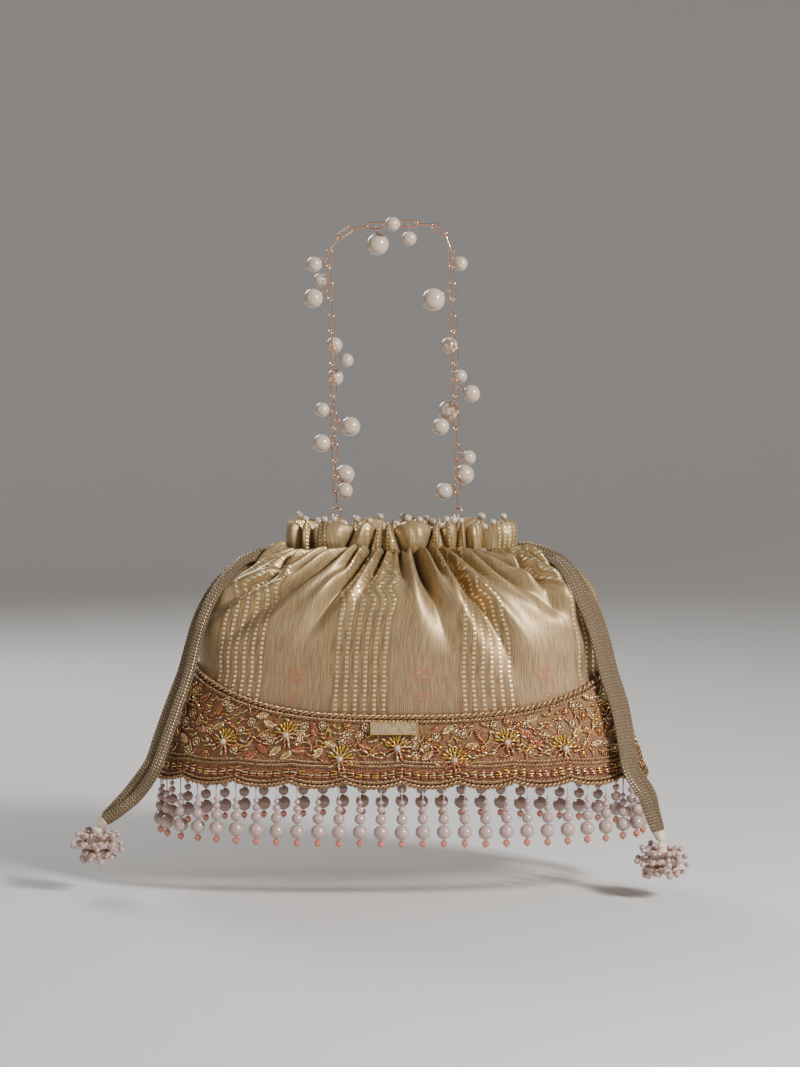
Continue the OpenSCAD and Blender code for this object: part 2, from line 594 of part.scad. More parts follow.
pouch();
lining();
wall_stiffener();
base_board();
sole();
front_casing();
back_casing();
front_channel_cords();
back_channel_cords();
mouth_ruffle();
ruffle_pearls();
front_border();
back_border();
front_border_trim();
back_border_trim();
front_flowers();
back_flowers();
front_bugle_beads();
back_bugle_beads();
label_plate();
left_handle_anchor();
right_handle_anchor();
top_links();
top_pearls();
left_leg_links();
left_leg_pearls();
right_leg_links();
right_leg_pearls();
left_end_ring();
right_end_ring();
left_cord_front_leg();
left_cord_back_leg();
left_cord_binding();
right_cord_front_leg();
right_cord_back_leg();
right_cord_binding();
left_tassel_cap();
left_tassel_pearls();
right_tassel_cap();
right_tassel_pearls();
for (g = [0:fringe_groups - 1])
    fringe_group(g);
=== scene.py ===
import bpy
import bmesh
import math
import random
import numpy as np
from mathutils import Matrix, Vector


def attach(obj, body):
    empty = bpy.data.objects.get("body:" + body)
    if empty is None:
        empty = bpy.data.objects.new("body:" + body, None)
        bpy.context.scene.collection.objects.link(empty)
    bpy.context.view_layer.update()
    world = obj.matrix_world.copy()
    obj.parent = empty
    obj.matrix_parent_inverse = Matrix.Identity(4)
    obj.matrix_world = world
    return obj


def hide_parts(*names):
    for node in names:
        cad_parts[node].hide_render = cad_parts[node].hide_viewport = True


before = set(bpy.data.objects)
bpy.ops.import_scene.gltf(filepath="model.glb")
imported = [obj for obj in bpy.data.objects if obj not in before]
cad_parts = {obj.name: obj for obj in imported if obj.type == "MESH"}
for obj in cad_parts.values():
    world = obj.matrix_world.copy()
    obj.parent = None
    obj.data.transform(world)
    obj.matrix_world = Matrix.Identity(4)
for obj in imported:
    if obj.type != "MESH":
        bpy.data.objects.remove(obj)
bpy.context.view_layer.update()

# ---------------------------------------------------------------------------
# Camera: a portrait view from a little above the hem, on a long lens, so that the base's curve
# shows and the mouth is seen nearly edge on.
# ---------------------------------------------------------------------------
BAG = Vector((0.004855, 0.0, -0.284795))        # middle of the pouch's base
scene = bpy.context.scene
camera_data = bpy.data.cameras.new("camera")
camera_data.lens = 97
camera_data.clip_start = 0.1
camera = bpy.data.objects.new("camera", camera_data)
scene.collection.objects.link(camera)
camera.location = BAG + Vector((0.0, -1.5, 0.235))
camera.rotation_euler = (BAG + Vector((-0.001, 0, 0.124)) - camera.location).to_track_quat("-Z",
        "Y").to_euler()
scene.camera = camera


# ---------------------------------------------------------------------------
# How every finish is written: shader sockets that add and multiply like numbers.
# ---------------------------------------------------------------------------
class Shade:
    """A shader socket in a material's tree, with the usual arithmetic."""

    def __init__(self, tree, socket):
        self.tree, self.socket = tree, socket

    def node(self, kind, settings=None, sockets=None, out=0):
        made = self.tree.nodes.new("ShaderNode" + kind)
        for name, value in (settings or {}).items():
            setattr(made, name, value)
        for name, value in (sockets or {}).items():
            if isinstance(value, Shade):
                self.tree.links.new(value.socket, made.inputs[name])
            else:
                made.inputs[name].default_value = value
        return Shade(self.tree, made.outputs[out])

    def sum(self, kind, *values):
        return self.node("Math", {"operation": kind}, dict(enumerate(values)))

    def __add__(self, other): return self.sum("ADD", self, other)
    def __radd__(self, other): return self.sum("ADD", other, self)
    def __sub__(self, other): return self.sum("SUBTRACT", self, other)
    def __rsub__(self, other): return self.sum("SUBTRACT", other, self)
    def __mul__(self, other): return self.sum("MULTIPLY", self, other)
    def __rmul__(self, other): return self.sum("MULTIPLY", other, self)
    def __truediv__(self, other): return self.sum("DIVIDE", self, other)
    def __mod__(self, other): return self.sum("FLOORED_MODULO", self, other)

    def split(self, axis):
        return self.node("SeparateXYZ", sockets={0: self}, out=axis)

    def band(self, low, high, soft):
        """1 between low and high, 0 outside, with soft edges."""
        up = self.node("MapRange", {"interpolation_type": "SMOOTHSTEP"},
                       {0: self, 1: low - soft, 2: low + soft, 3: 0.0, 4: 1.0})
        down = self.node("MapRange", {"interpolation_type": "SMOOTHSTEP"},
                         {0: self, 1: high - soft, 2: high + soft, 3: 1.0, 4: 0.0})
        return up * down

    def mix(self, low, high):
        """low where this is 0 and high where it is 1; each a colour or another socket."""
        return self.node("Mix", {"data_type": "RGBA"}, {0: self, 6: low, 7: high}, out=2)

    def noise(self, scale, detail=2.0):
        return self.node("TexNoise", sockets={"Vector": self, "Scale": scale, "Detail": detail})


def finish_of(name, slot, color, roughness, metallic=0.0, coat=0.0, sheen=0.0, **fixed):
    """A new material with its Principled shader's constants set; returns it, its shader and two vectors."""
    made = bpy.data.materials.new(name)
    made.use_nodes = True
    tree = made.node_tree
    shader = tree.nodes["Principled BSDF"]
    for key, value in {"Base Color": (*color, 1), "Roughness": roughness, "Metallic": metallic,
                       "Coat Weight": coat, "Sheen Weight": sheen, **fixed}.items():
        shader.inputs[key].default_value = value
    where = tree.nodes.new("ShaderNodeTexCoord")
    made["slot"] = slot
    return made, shader, Shade(tree, where.outputs["Object"]), Shade(tree, where.outputs["UV"])


def drive(shader, **sockets):
    """Links sockets, such as base_color or roughness, and a height in metres as the bump."""
    for name, value in sockets.items():
        if name == "height":
            bump = value.node("Bump", sockets={"Height": value, "Distance": 1.0, "Strength": 1.0})
            value, name = bump, "normal"
        value.tree.links.new(value.socket, shader.inputs[name.replace("_", " ").title()])


def piece(name, bm, materials, body, nodes=(), smooth=True):
    """Turns a bmesh into a shown piece that moves with a body and stands for some CAD nodes."""
    mesh = bpy.data.meshes.new(name)
    bmesh.ops.recalc_face_normals(bm, faces=bm.faces)
    for face in bm.faces:
        face.smooth = smooth
    bm.to_mesh(mesh)
    bm.free()
    for material in materials:
        mesh.materials.append(material)
    made = bpy.data.objects.new(name, mesh)
    scene.collection.objects.link(made)
    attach(made, body)
    if nodes:
        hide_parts(*nodes)
    return made


def turned(point, along, spin=0.0):
    """The matrix that sets a piece modelled along +Z at a point, lying along a direction."""
    return (Matrix.Translation(point) @ Vector(along).to_track_quat("Z", "Y").to_matrix().to_4x4()
            @ Matrix.Rotation(spin, 4, "Z"))


def bead(bm, point, along, diameter, length, slot=0, sides=6):
    """A short tube bead, a little rounded at both ends."""
    rings = ((-0.5, 0.55), (-0.42, 1.0), (0.42, 1.0), (0.5, 0.55))
    at = turned(point, along)
    made = [[bm.verts.new(at @ Vector((diameter / 2 * r * math.cos(2 * math.pi * k / sides),
                                       diameter / 2 * r * math.sin(2 * math.pi * k / sides), length * z)))
             for k in range(sides)] for z, r in rings]
    for low, high in zip(made, made[1:]):
        for k in range(sides):
            bm.faces.new((low[k], low[(k + 1) % sides], high[(k + 1) % sides],
                          high[k])).material_index = slot
    bm.faces.new(made[0][::-1]).material_index = slot
    bm.faces.new(made[-1]).material_index = slot


def ball(bm, point, diameter, slot=0, u=20, v=12, squash=1.0):
    """A pearl; squash under 1 flattens it a little, as a real one is."""
    r, point = diameter / 2, Vector(point)
    top, foot = (bm.verts.new(point + Vector((0, 0, z * squash))) for z in (r, -r))
    rings = [[bm.verts.new(point + Vector((r * math.sin(math.pi * j / v) * math.cos(2 * math.pi * i / u),
                                           r * math.sin(math.pi * j / v) * math.sin(2 * math.pi * i / u),
                                           r * math.cos(math.pi * j / v) * squash)))
              for i in range(u)] for j in range(1, v)]
    for i in range(u):
        k = (i + 1) % u
        made = [(top, rings[0][i], rings[0][k]), (foot, rings[-1][k], rings[-1][i])]
        made += [(high[i], low[i], low[k], high[k]) for high, low in zip(rings, rings[1:])]
        for corners in made:
            bm.faces.new(corners).material_index = slot


def tube(bm, path, radius, sides=8, slot=0, closed=False, caps=True):
    """A round wire or thread along a list of points; radius may be a function of the index."""
    n = len(path)
    rings = []
    side = None
    for i, p in enumerate(path):
        ahead = path[(i + 1) % n] if closed else path[min(i + 1, n - 1)]
        back = path[(i - 1) % n] if closed else path[max(i - 1, 0)]
        d = (ahead - back).normalized()
        if side is None:
            side = d.orthogonal().normalized()
        side = (side - d * side.dot(d)).normalized()
        up = d.cross(side)
        r = radius(i) if callable(radius) else radius
        rings.append([bm.verts.new(p + r * (side * math.cos(2 * math.pi * k / sides)
                                            + up * math.sin(2 * math.pi * k / sides))) for k in range(sides)])
    pairs = list(zip(rings, rings[1:])) + ([(rings[-1], rings[0])] if closed else [])
    for low, high in pairs:
        for k in range(sides):
            bm.faces.new((low[k], low[(k + 1) % sides], high[(k + 1) % sides],
                          high[k])).material_index = slot
    if caps and not closed:
        bm.faces.new(rings[0][::-1]).material_index = slot
        bm.faces.new(rings[-1]).material_index = slot


def rope(bm, path, thick, pitch, plies=2, steps=9, sides=5, slot=0, phase=0.0):
    """Plies twisted round each other along a list of points."""
    lengths = [0.0]
    for a, b in zip(path, path[1:]):
        lengths.append(lengths[-1] + (b - a).length)
    total = lengths[-1]
    count = max(8, int(total / pitch * steps))
    for ply in range(plies):
        strand = []
        j = 0
        for i in range(count + 1):
            s = total * i / count
            while j < len(path) - 2 and lengths[j + 1] < s:
                j += 1
            f = (s - lengths[j]) / max(lengths[j + 1] - lengths[j], 1e-9)
            p = path[j].lerp(path[j + 1], f)
            d = (path[j + 1] - path[j]).normalized()
            side = d.cross(Vector((0, 0, 1))).normalized()
            up = side.cross(d)
            a = 2 * math.pi * (s / pitch + ply / plies) + phase
            strand.append(p + thick * 0.26 * (side * math.cos(a) + up * math.sin(a)))
        tube(bm, strand, thick * 0.27, sides=sides, slot=slot)


# ---------------------------------------------------------------------------
# Pouch: one tube of champagne brocade, stiff and plain behind the border, then a dome whose
# cloth is drawn in to the neck. Creases run down from the neck; the deepest are in front.
# ---------------------------------------------------------------------------
BASE_A, BASE_B, SHOULDER_A, SHOULDER_B = 0.125, 0.046, 0.106, 0.049
NECK_A, NECK_B, SHOULDER_H, NECK_H = 0.061, 0.0165, 0.055, 0.110
SQUARE = 2.3


def oval(t, a, b):
    c, s = np.cos(t), np.sin(t)
    return (a * np.sign(c) * np.abs(c) ** (2 / SQUARE), b * np.sign(s) * np.abs(s) ** (2 / SQUARE))


def outline(h):
    """Half-width and half-depth of the pouch at a height."""
    s = np.clip((h - SHOULDER_H) / (NECK_H - SHOULDER_H), 0, 1)
    dome = (1 - s ** 3) ** 0.55
    low = np.minimum(h, SHOULDER_H) / SHOULDER_H
    a = np.where(h < SHOULDER_H, BASE_A + (SHOULDER_A - BASE_A) * low,
                 NECK_A + (SHOULDER_A - NECK_A) * dome)
    b = np.where(h < SHOULDER_H, BASE_B + (SHOULDER_B - BASE_B) * low,
                 NECK_B + (SHOULDER_B - NECK_B) * dome)
    return a, b


# Angle at a share of the way round the hem, by length, from the middle of the front
hem_t = np.linspace(-math.pi / 2, 1.5 * math.pi, 2881)
hem_x, hem_y = oval(hem_t, BASE_A, BASE_B)
hem_s = np.concatenate([[0], np.cumsum(np.hypot(np.diff(hem_x), np.diff(hem_y)))])
HEM_LENGTH = float(hem_s[-1])


def angle_at(share):
    return np.interp(np.mod(share, 1.0), hem_s / HEM_LENGTH, hem_t)


def share_of(t):
    return np.interp(np.mod(t + math.pi / 2, 2 * math.pi) - math.pi / 2, hem_t, hem_s / HEM_LENGTH)


def skin(share, h, off=0.0):
    """Points off clear of the pouch's smooth outside, and its outward normals, in the row frame."""
    share, h = np.broadcast_arrays(np.asarray(share, float), np.asarray(h, float))

    def at(s, z):
        x, y = oval(angle_at(s), *outline(z))
        return np.stack([x, y, z], -1)
    d = 0.0015
    top = np.minimum(h, NECK_H - d)
    normal = np.cross(at(share + d, h) - at(share - d, h), at(share, top + d) - at(share, top))
    normal /= np.linalg.norm(normal, axis=-1, keepdims=True)
    level = normal * np.array([1, 1, 0])
    level /= np.linalg.norm(level, axis=-1, keepdims=True)
    straight = (h < SHOULDER_H)[..., None]
    p = at(share, h) + np.asarray(off)[..., None] * np.where(straight, level, normal)
    return p + np.array(BAG), np.where(straight, level, normal)


# Creases: [share at the neck, share where it ends, how far down, depth mm, half-width at the neck mm,
# half-width at its end mm]; the shares run from the middle of the front, + to the right
creases = [(-0.090, -0.205, 0.62, 8.0, 2.6, 10), (-0.055, -0.112, 0.66, 7.0, 2.2, 7),
           (-0.030, -0.050, 0.34, 4.5, 1.6, 4), (-0.004, 0.006, 0.30, 3.6, 1.5, 4),
           (0.022, 0.052, 0.62, 8.5, 2.4, 8), (0.046, 0.060, 0.34, 5.0, 1.8, 4),
           (0.060, 0.128, 0.78, 8.5, 2.2, 9), (0.086, 0.150, 0.40, 5.0, 1.8, 6),
           (0.108, 0.190, 0.50, 6.5, 2.2, 8), (0.135, 0.215, 0.36, 4.5, 2.0, 6),
           (-0.118, -0.175, 0.36, 5.0, 2.0, 6), (-0.140, -0.225, 0.50, 6.5, 2.2, 8),
           (-0.073, -0.084, 0.26, 4.0, 1.6, 4), (-0.045, -0.072, 0.40, 3.6, 1.6, 4)]
chance = random.Random(11)
for k in range(25):
    start = 0.165 + (0.835 - 0.165) * (k + 0.5 + chance.uniform(-0.3, 0.3)) / 25
    long = chance.uniform(0.25, 0.62)
    creases.append((start, start + (start - 0.5) * chance.uniform(-0.05, 0.03) + chance.uniform(-0.02,
            0.02),
                    long, 3 + 8 * long, chance.uniform(1.6, 2.4), chance.uniform(4, 9)))
wobbles = [(chance.uniform(0, 6.3), chance.uniform(0, 6.3), k) for k in (2, 3, 5, 7, 9, 12, 15)]


def folds(share, down):
    """How far the gathered cloth stands off its smooth shape; down is 0 at the neck and 1 at the border."""
    depth = np.zeros_like(share)
    for at_neck, at_end, long, deep, narrow, wide in creases:
        f = np.clip(down / (1.15 * long), 0, 1)
        middle = at_neck + (at_end - at_neck) * f ** 1.15
        x = (share - middle + 0.5) % 1.0 - 0.5
        width = (narrow + (wide - narrow) * f) / 1000 / HEM_LENGTH
        body = np.exp(-np.abs(x / width) ** 1.55) - 0.42 * np.exp(-((np.abs(x) / width - 2.1) / 1.1) ** 2)
        depth -= 1.55 * deep / 1000 * (1 - f) ** 1.15 * (1 - 0.25 * np.exp(-down / 0.04)) * body
    soft = sum(np.sin(2 * math.pi * k * share + a + 2.2 * down) * np.cos(3.1 * down + b) / k ** 0.6
               for a, b, k in wobbles)
    return depth + 0.0011 * soft * np.clip(down * 3, 0.25, 1) * np.clip((1 - down) * 3, 0, 1) \
        + 0.0022 * np.exp(-((down - 0.30) / 0.22) ** 2)


brocade, shader, place, cloth = finish_of("brocade", "brocade", (0.46, 0.35, 0.21), 0.42, metallic=0.45,
                                          sheen=0.10)
across = cloth.split(0) * 1000.0 + 0.0
up = cloth.split(1) * 1000.0
# Stripes repeat every 63 mm: six columns of woven dots, then a plainer stripe with small flowers
stripe = (across + 52.0) % 63.0
dotted = stripe.band(16.5, 46.0, 1.2)
column = (stripe + 1.2) % 4.7
row = (up + column * 0.0) % 2.45
dot = column.band(1.5, 3.0, 0.3) * row.band(0.45, 1.75, 0.3) * dotted
fine = (across % 0.9).band(0.2, 0.7, 0.15)
hairs = cloth.node("Mapping", {}, {"Vector": cloth, "Scale": (1400.0, 90.0, 1.0)}).noise(1.0, 3.0)
picks = cloth.node("Mapping", {}, {"Vector": cloth, "Scale": (300.0, 2600.0, 1.0)}).noise(1.0, 2.0)
# The flower: eight petals round a point, over a small ring, in faded copper thread
fx = stripe - 62.0
fx = fx + fx.sum("LESS_THAN", fx, -31.5) * 63.0
fy = up - 56.0
radius = (fx * fx + fy * fy).sum("SQRT", fx * fx + fy * fy)
angle = fx.sum("ARCTAN2", fy, fx)
petal = (angle * 4.0).sum("COSINE", angle * 4.0).sum("ABSOLUTE", (angle * 4.0).sum("COSINE", angle * 4.0))
flower = (radius - petal * 3.4).band(-0.4, 1.5, 0.45) * radius.band(1.0, 5.3, 0.3) + radius.band(0.0, 0.7,
        0.2)
ry = fy + 11.5
ring_r = (fx * fx + ry * ry).sum("SQRT", fx * fx + ry * ry)
flower = flower + ring_r.band(2.0, 2.8, 0.25) + ring_r.band(0.0, 0.7, 0.2)
flower = flower.sum("MINIMUM", flower, 1.0)
large = place.noise(26.0, 2.0)
level = (place.split(2) - float(BAG.z)) * 11.0 - 0.3
level = level.node("Clamp", sockets={0: level})
ground = large.mix((0.30, 0.155, 0.075, 1), (0.40, 0.245, 0.115, 1))
ground = (level * 0.8).mix(ground, (0.41, 0.285, 0.110, 1))
ground = (hairs.band(0.50, 2.0, 0.10) * 0.6).mix(ground, (0.130, 0.068, 0.030, 1))
ground = (fine * (1.0 - dotted) * 0.28).mix(ground, (0.62, 0.50, 0.31, 1))
ground = (flower * 0.75).mix(ground, (0.42, 0.15, 0.08, 1))
drive(shader, base_color=dot.mix(ground, (0.86, 0.72, 0.45, 1)),
      roughness=0.37 - dot * 0.15 + picks * 0.14,
      metallic=0.55 + dot * 0.35,
      height=(dot * 0.00013 + hairs * 0.00010 + picks * 0.00005 + flower * 0.00006))
brocade_across, brocade_up = 640, 130

bm = bmesh.new()
bmesh.ops.create_grid(bm, x_segments=brocade_across, y_segments=brocade_up, size=1)
grid = np.array([v.co for v in bm.verts])
share = (grid[:, 0] + 1) / 2 - 0.5                     # the seam is at the middle of the back
rise = (grid[:, 1] + 1) / 2
# Rows are closer together near the neck, where the folds are sharp
rise = 1 - (1 - rise) ** 1.7
height = rise * NECK_H
down = np.clip((NECK_H - height) / (NECK_H - 0.030), 0, 1) ** 0.62
push = folds(share, down) * np.clip((height - 0.020) / 0.02, 0, 1)
at, facing = skin(share, height, 0.0)
at = at + facing * push[:, None]
# The neck's last rows turn up into the gathers
lift = np.clip((rise - 0.93) / 0.07, 0, 1) ** 2
at[:, 2] += lift * 0.0045
for vert, p in zip(bm.verts, at):
    vert.co = p
bm.verts.ensure_lookup_table()
order = np.lexsort((np.round(grid[:, 0], 6), np.round(grid[:, 1], 6))).reshape(brocade_up + 1,
        brocade_across + 1)
rows = at[order]
run = np.concatenate([np.zeros((brocade_up + 1, 1)),
                      np.cumsum(np.linalg.norm(np.diff(rows, axis=1), axis=2), axis=1)], axis=1)
rim = np.concatenate([np.zeros((1, brocade_across + 1)),
                      np.cumsum(np.linalg.norm(np.diff(rows, axis=0), axis=2), axis=0)], axis=0)
cloth_u = np.zeros(len(at))
cloth_v = np.zeros(len(at))
cloth_u[order] = (run / run[:, -1:] - 0.5) * 0.504
cloth_v[order] = rim
uv = bm.loops.layers.uv.new("cloth")
for face in bm.faces:
    for loop in face.loops:
        loop[uv].uv = (cloth_u[loop.vert.index], cloth_v[loop.vert.index])
bmesh.ops.remove_doubles(bm, verts=bm.verts, dist=1e-6)
piece("pouch_brocade", bm, [brocade], "bag", ["pouch"])

# ---------------------------------------------------------------------------
# Lining: a satin cup inside the pouch, with a floor over the base board, and a brocade sole
# under it with a corded edge.
# ---------------------------------------------------------------------------
satin, shader, place, cloth = finish_of("lining_satin", "lining_satin", (0.55, 0.44, 0.31), 0.38, sheen=0.3)
drive(shader, height=cloth.node("Mapping", {}, {"Vector": cloth,
                                                "Scale": (900.0, 60.0, 1.0)}).noise(1.0) * 0.00004)
bm = bmesh.new()
bmesh.ops.create_grid(bm, x_segments=300, y_segments=60, size=1)
grid = np.array([v.co for v in bm.verts])
share = (grid[:, 0] + 1) / 2 - 0.5
rise = 1 - (1 - (grid[:, 1] + 1) / 2) ** 1.7
height = 0.0052 + rise * (NECK_H - 0.0052)
down = np.clip((NECK_H - height) / (NECK_H - 0.030), 0, 1) ** 0.62
at, facing = skin(share, height, -0.0040)
at = at + facing * (0.8 * folds(share, down) * np.clip((height - 0.020) / 0.02, 0, 1))[:, None]
for vert, p in zip(bm.verts, at):
    vert.co = p
uv = bm.loops.layers.uv.new("cloth")
for face in bm.faces:
    for loop in face.loops:
        k = loop.vert.index
        loop[uv].uv = (share[k] * 0.5, height[k])
bmesh.ops.remove_doubles(bm, verts=bm.verts, dist=1e-6)
rim = sorted((e for e in bm.edges if e.is_boundary), key=lambda e: e.verts[0].co.z)[:300]
bmesh.ops.edgeloop_fill(bm, edges=[e for e in rim if e.verts[0].co.z < BAG.z + 0.01])
piece("lining_cup", bm, [satin], "bag", ["lining"])

bm = bmesh.new()
edge = [Vector(skin(k / 240, 0.0, -0.0016)[0]) for k in range(240)]
bottom = [bm.verts.new(p) for p in edge]
face = bm.faces.new(bottom)
bmesh.ops.inset_region(bm, faces=[face], thickness=0.002, depth=0.0)
raised = bmesh.ops.extrude_face_region(bm, geom=list(bm.faces))
bmesh.ops.translate(bm, vec=(0, 0, 0.0013), verts=[g for g in raised["geom"] if isinstance(g,
        bmesh.types.BMVert)])
tube(bm, [p + Vector((0, 0, 0.0006)) for p in edge], 0.0008, sides=8, closed=True)
uv = bm.loops.layers.uv.new("cloth")
for face in bm.faces:
    for loop in face.loops:
        loop[uv].uv = (loop.vert.co.x, loop.vert.co.y)
piece("sole_cover", bm, [brocade], "bag", ["sole"])

# ---------------------------------------------------------------------------
# Ruffle: the cloth above the gathering line, folded over into soft puffs of uneven width that
# roll outwards; deep creases part them, and it opens at each side for the drawstrings.
# ---------------------------------------------------------------------------
# Creases between the puffs: [x at the gathering line, x at the crest, in mm from the middle; then how far
# the puff to its right bulges, how high it stands, how much its crest leans], first the front, then the back
front_puffs = ((-60.6, -60.6, 0.75, 0.84, 0.0), (-54.0, -53.5, 0.75, 0.90, 0.0),
               (-46.5, -48.5, 1.25, 0.98, -0.3),
               (-32.0, -24.5, 0.95, 0.97, 0.5), (-19.0, -13.5, 0.7, 0.78, 0.0),
               (-11.0, -9.5, 0.7, 0.84, 0.0),
               (2.0, -5.0, 1.25, 1.04, 0.3), (11.0, 17.0, 0.75, 0.94, 0.0), (25.0, 20.0, 1.05, 1.0, 0.0),
               (28.5, 30.0, 0.7, 0.86, 0.0), (35.0, 34.0, 0.9, 0.97, 0.2), (42.5, 43.5, 0.8, 0.92, 0.0))
back_puffs = ((60.6, 60.6, 0.8, 0.88, 0.0), (46.0, 48.0, 1.2, 1.0, 0.3), (34.0, 27.0, 0.8, 0.9, 0.0),
              (24.0, 22.0, 0.8, 0.95, 0.0), (12.0, 18.0, 1.2, 1.04, -0.4), (3.0, -3.0, 0.8, 0.86, 0.0),
              (-8.0, -6.0, 1.0, 0.95, 0.3), (-24.0, -28.0, 0.8, 0.95, 0.0), (-42.0, -38.0, 1.0, 0.98, -0.2))


def across_mouth(x, back):
    """The share of the way round at x mm from the middle of the mouth's front or back."""
    found = float(share_of(-math.acos(math.copysign(abs(x / 61) ** (SQUARE / 2), x))))
    found = found - 1 if found > 0.5 else found
    return 0.5 - found if back else found


puffs = [(across_mouth(row[0], False), across_mouth(row[1], False), *row[2:]) for row in front_puffs]
puffs += [(across_mouth(row[0], True), across_mouth(row[1], True), *row[2:]) for row in back_puffs]
puffs = np.array(puffs)
profile = np.array([(0.0, -0.3, 0.0), (0.06, 1.6, 1.2), (0.14, 3.6, 4.2), (0.24, 4.9, 8.0),
                    (0.34, 5.1, 11.8),
                    (0.43, 4.2, 15.4), (0.50, 2.4, 18.0), (0.56, 0.6, 18.9), (0.62, -1.0, 18.0),
                    (0.72, -2.4, 14.0), (0.85, -3.4, 7.0), (1.0, -4.2, -1.5)])


def ruffle(share, q):
    """Points on the ruffle: q runs from the gathering line, out and over the top, to the inside."""
    share, q = np.broadcast_arrays(np.asarray(share, float), np.asarray(q, float))
    out = np.interp(q, profile[:, 0], profile[:, 1])
    up = np.interp(q, profile[:, 0], profile[:, 2])
    rise = np.where(q > 0.56, 1.0, up / 18.9)
    left = puffs[:, 0] + (puffs[:, 1] - puffs[:, 0]) * rise[..., None]
    turn = np.mod(share - left[..., 0], 1.0) + left[..., 0]
    k = np.clip((left <= turn[..., None]).sum(-1) - 1, 0, len(puffs) - 1)
    begin = np.take_along_axis(left, k[..., None], -1)[..., 0]
    end = np.take_along_axis(np.concatenate([left, left[..., :1] + 1], -1), k[..., None] + 1, -1)[..., 0]
    x = (turn - begin) / (end - begin)
    bulge, stand, tilt = (puffs[k, n] for n in (2, 3, 4))
    bulge = bulge * np.clip((end - begin) / 0.034, 0.3, 1.1) ** 0.5
    x = np.clip(x + tilt * 0.18 * np.sin(math.pi * x) * (q - 0.2), 0, 1)
    full = np.sin(math.pi * x) ** 0.55
    near = np.exp(-q / 0.10)
    small = 0.08 * np.sin(2 * math.pi * 1.5 * x + 3 * k + 3 * q) * np.sin(math.pi * x) \
        + 0.16 * near * np.sin(2 * math.pi * 150 * share + 2 * k) + 0.05 * np.sin(17 * x + 5 * k + 9 * q)
    side = np.exp(-((np.abs((share + 0.5) % 1.0 - 0.5) - 0.25) / 0.030) ** 2)
    r = np.where(out > 0, np.clip(out, 0, None) * (bulge * full + small * full) * (1 - 0.45 * side)
                 - 2.8 * (1 - full), out - 0.6 * (1 - full))
    top = up * (0.72 + 0.28 * full * stand) - 1.2 * (1 - full) * (up > 4)
    sack = np.exp(-((q - 0.12) / 0.08) ** 2)
    low = 5.2 * side * np.clip(1 - up / 9, 0, 1) - 1.6 * np.clip(bulge - 1, 0, 1) * full * sack
    x0, y0 = oval(angle_at(share), NECK_A - 0.0015, NECK_B - 0.0012)
    nx, ny = np.cos(angle_at(share)) * NECK_B, np.sin(angle_at(share)) * NECK_A
    size = np.hypot(nx, ny)
    return np.stack([x0 + nx / size * r / 1000, y0 + ny / size * r / 1000,
                     0.1130 + (top + low) / 1000 + 0 * x0], -1) + np.array(BAG)


bm = bmesh.new()
ruffle_across, ruffle_up = 840, 56
bmesh.ops.create_grid(bm, x_segments=ruffle_across, y_segments=ruffle_up, size=1)
grid = np.array([v.co for v in bm.verts])
share, q = (grid[:, 0] + 1) / 2 - 0.5, (grid[:, 1] + 1) / 2
at = ruffle(share, q)
for vert, p in zip(bm.verts, at):
    vert.co = p
uv = bm.loops.layers.uv.new("cloth")
for face in bm.faces:
    for loop in face.loops:
        k = loop.vert.index
        loop[uv].uv = (share[k] * 0.504, 0.128 + q[k] * 0.046)
bmesh.ops.remove_doubles(bm, verts=bm.verts, dist=1e-6)
piece("mouth_ruffle_cloth", bm, [brocade], "bag", ["mouth_ruffle", "front_casing", "back_casing"])

# Small pearls sewn along the ruffle's top edge, uneven in size and place
nacre, shader, place, cloth = finish_of("pearl", "pearl", (0.80, 0.72, 0.63), 0.22, coat=0.8, **{
    "Coat Roughness": 0.08, "Specular IOR Level": 0.6, "Subsurface Weight": 0.15,
    "Subsurface Radius": (0.002, 0.0014, 0.001)})
cloud = place.noise(260.0, 2.0)
drive(shader, base_color=cloud.mix((0.56, 0.45, 0.34, 1), (0.44, 0.33, 0.26, 1)),
      roughness=0.17 + cloud * 0.14)
bm = bmesh.new()
for s, d in ((-0.158, 4.0), (-0.146, 3.4), (-0.128, 3.0), (-0.009, 3.2), (0.012, 3.8), (0.034, 3.0),
             (0.060, 3.4), (0.074, 4.0),
             (0.084, 3.4), (0.098, 4.2), (0.112, 3.2), (0.160, 3.6), (0.176, 3.2), (-0.185, 3.2),
             (-0.060, 3.0),
             (0.300, 3.6), (0.345, 4.0), (0.392, 3.2), (0.440, 4.2), (0.452, 3.0), (0.497, 3.8),
             (0.541, 3.4),
             (0.588, 4.2), (0.640, 3.4), (0.652, 3.0), (0.700, 4.0)):
    p = Vector(ruffle(np.array([s]), np.array([0.54]))[0])
    ball(bm, p + Vector((0, 0, d * 0.00042)), d / 1000, u=16, v=10, squash=0.93)
piece("ruffle_edge_pearls", bm, [nacre], "bag", ["ruffle_pearls"])

# ---------------------------------------------------------------------------
# Border: a padded band of embroidered net over cloth, front and back, joined at the side seams;
# its upper edge dips at the middle and its lower edge is scalloped.
# ---------------------------------------------------------------------------
SCALLOPS = 20
BAND_OUT = 0.003


def band_top(share):
    return 0.033 + 0.021 * np.abs(np.cos(angle_at(share))) ** 2.6


def band_foot(share):
    return -0.003 * np.abs(np.sin(math.pi * SCALLOPS * share)) ** 0.7


# The border's face is worked out once on a fine grid of shares and heights, and read between its points
face_points, face_normals = skin(np.linspace(-0.5, 0.5, 1201)[:, None] + np.zeros((1, 36)),
                                 np.linspace(-0.006, 0.064, 36)[None, :] + np.zeros((1201, 1)),
                                 np.full((1201, 36), BAND_OUT))


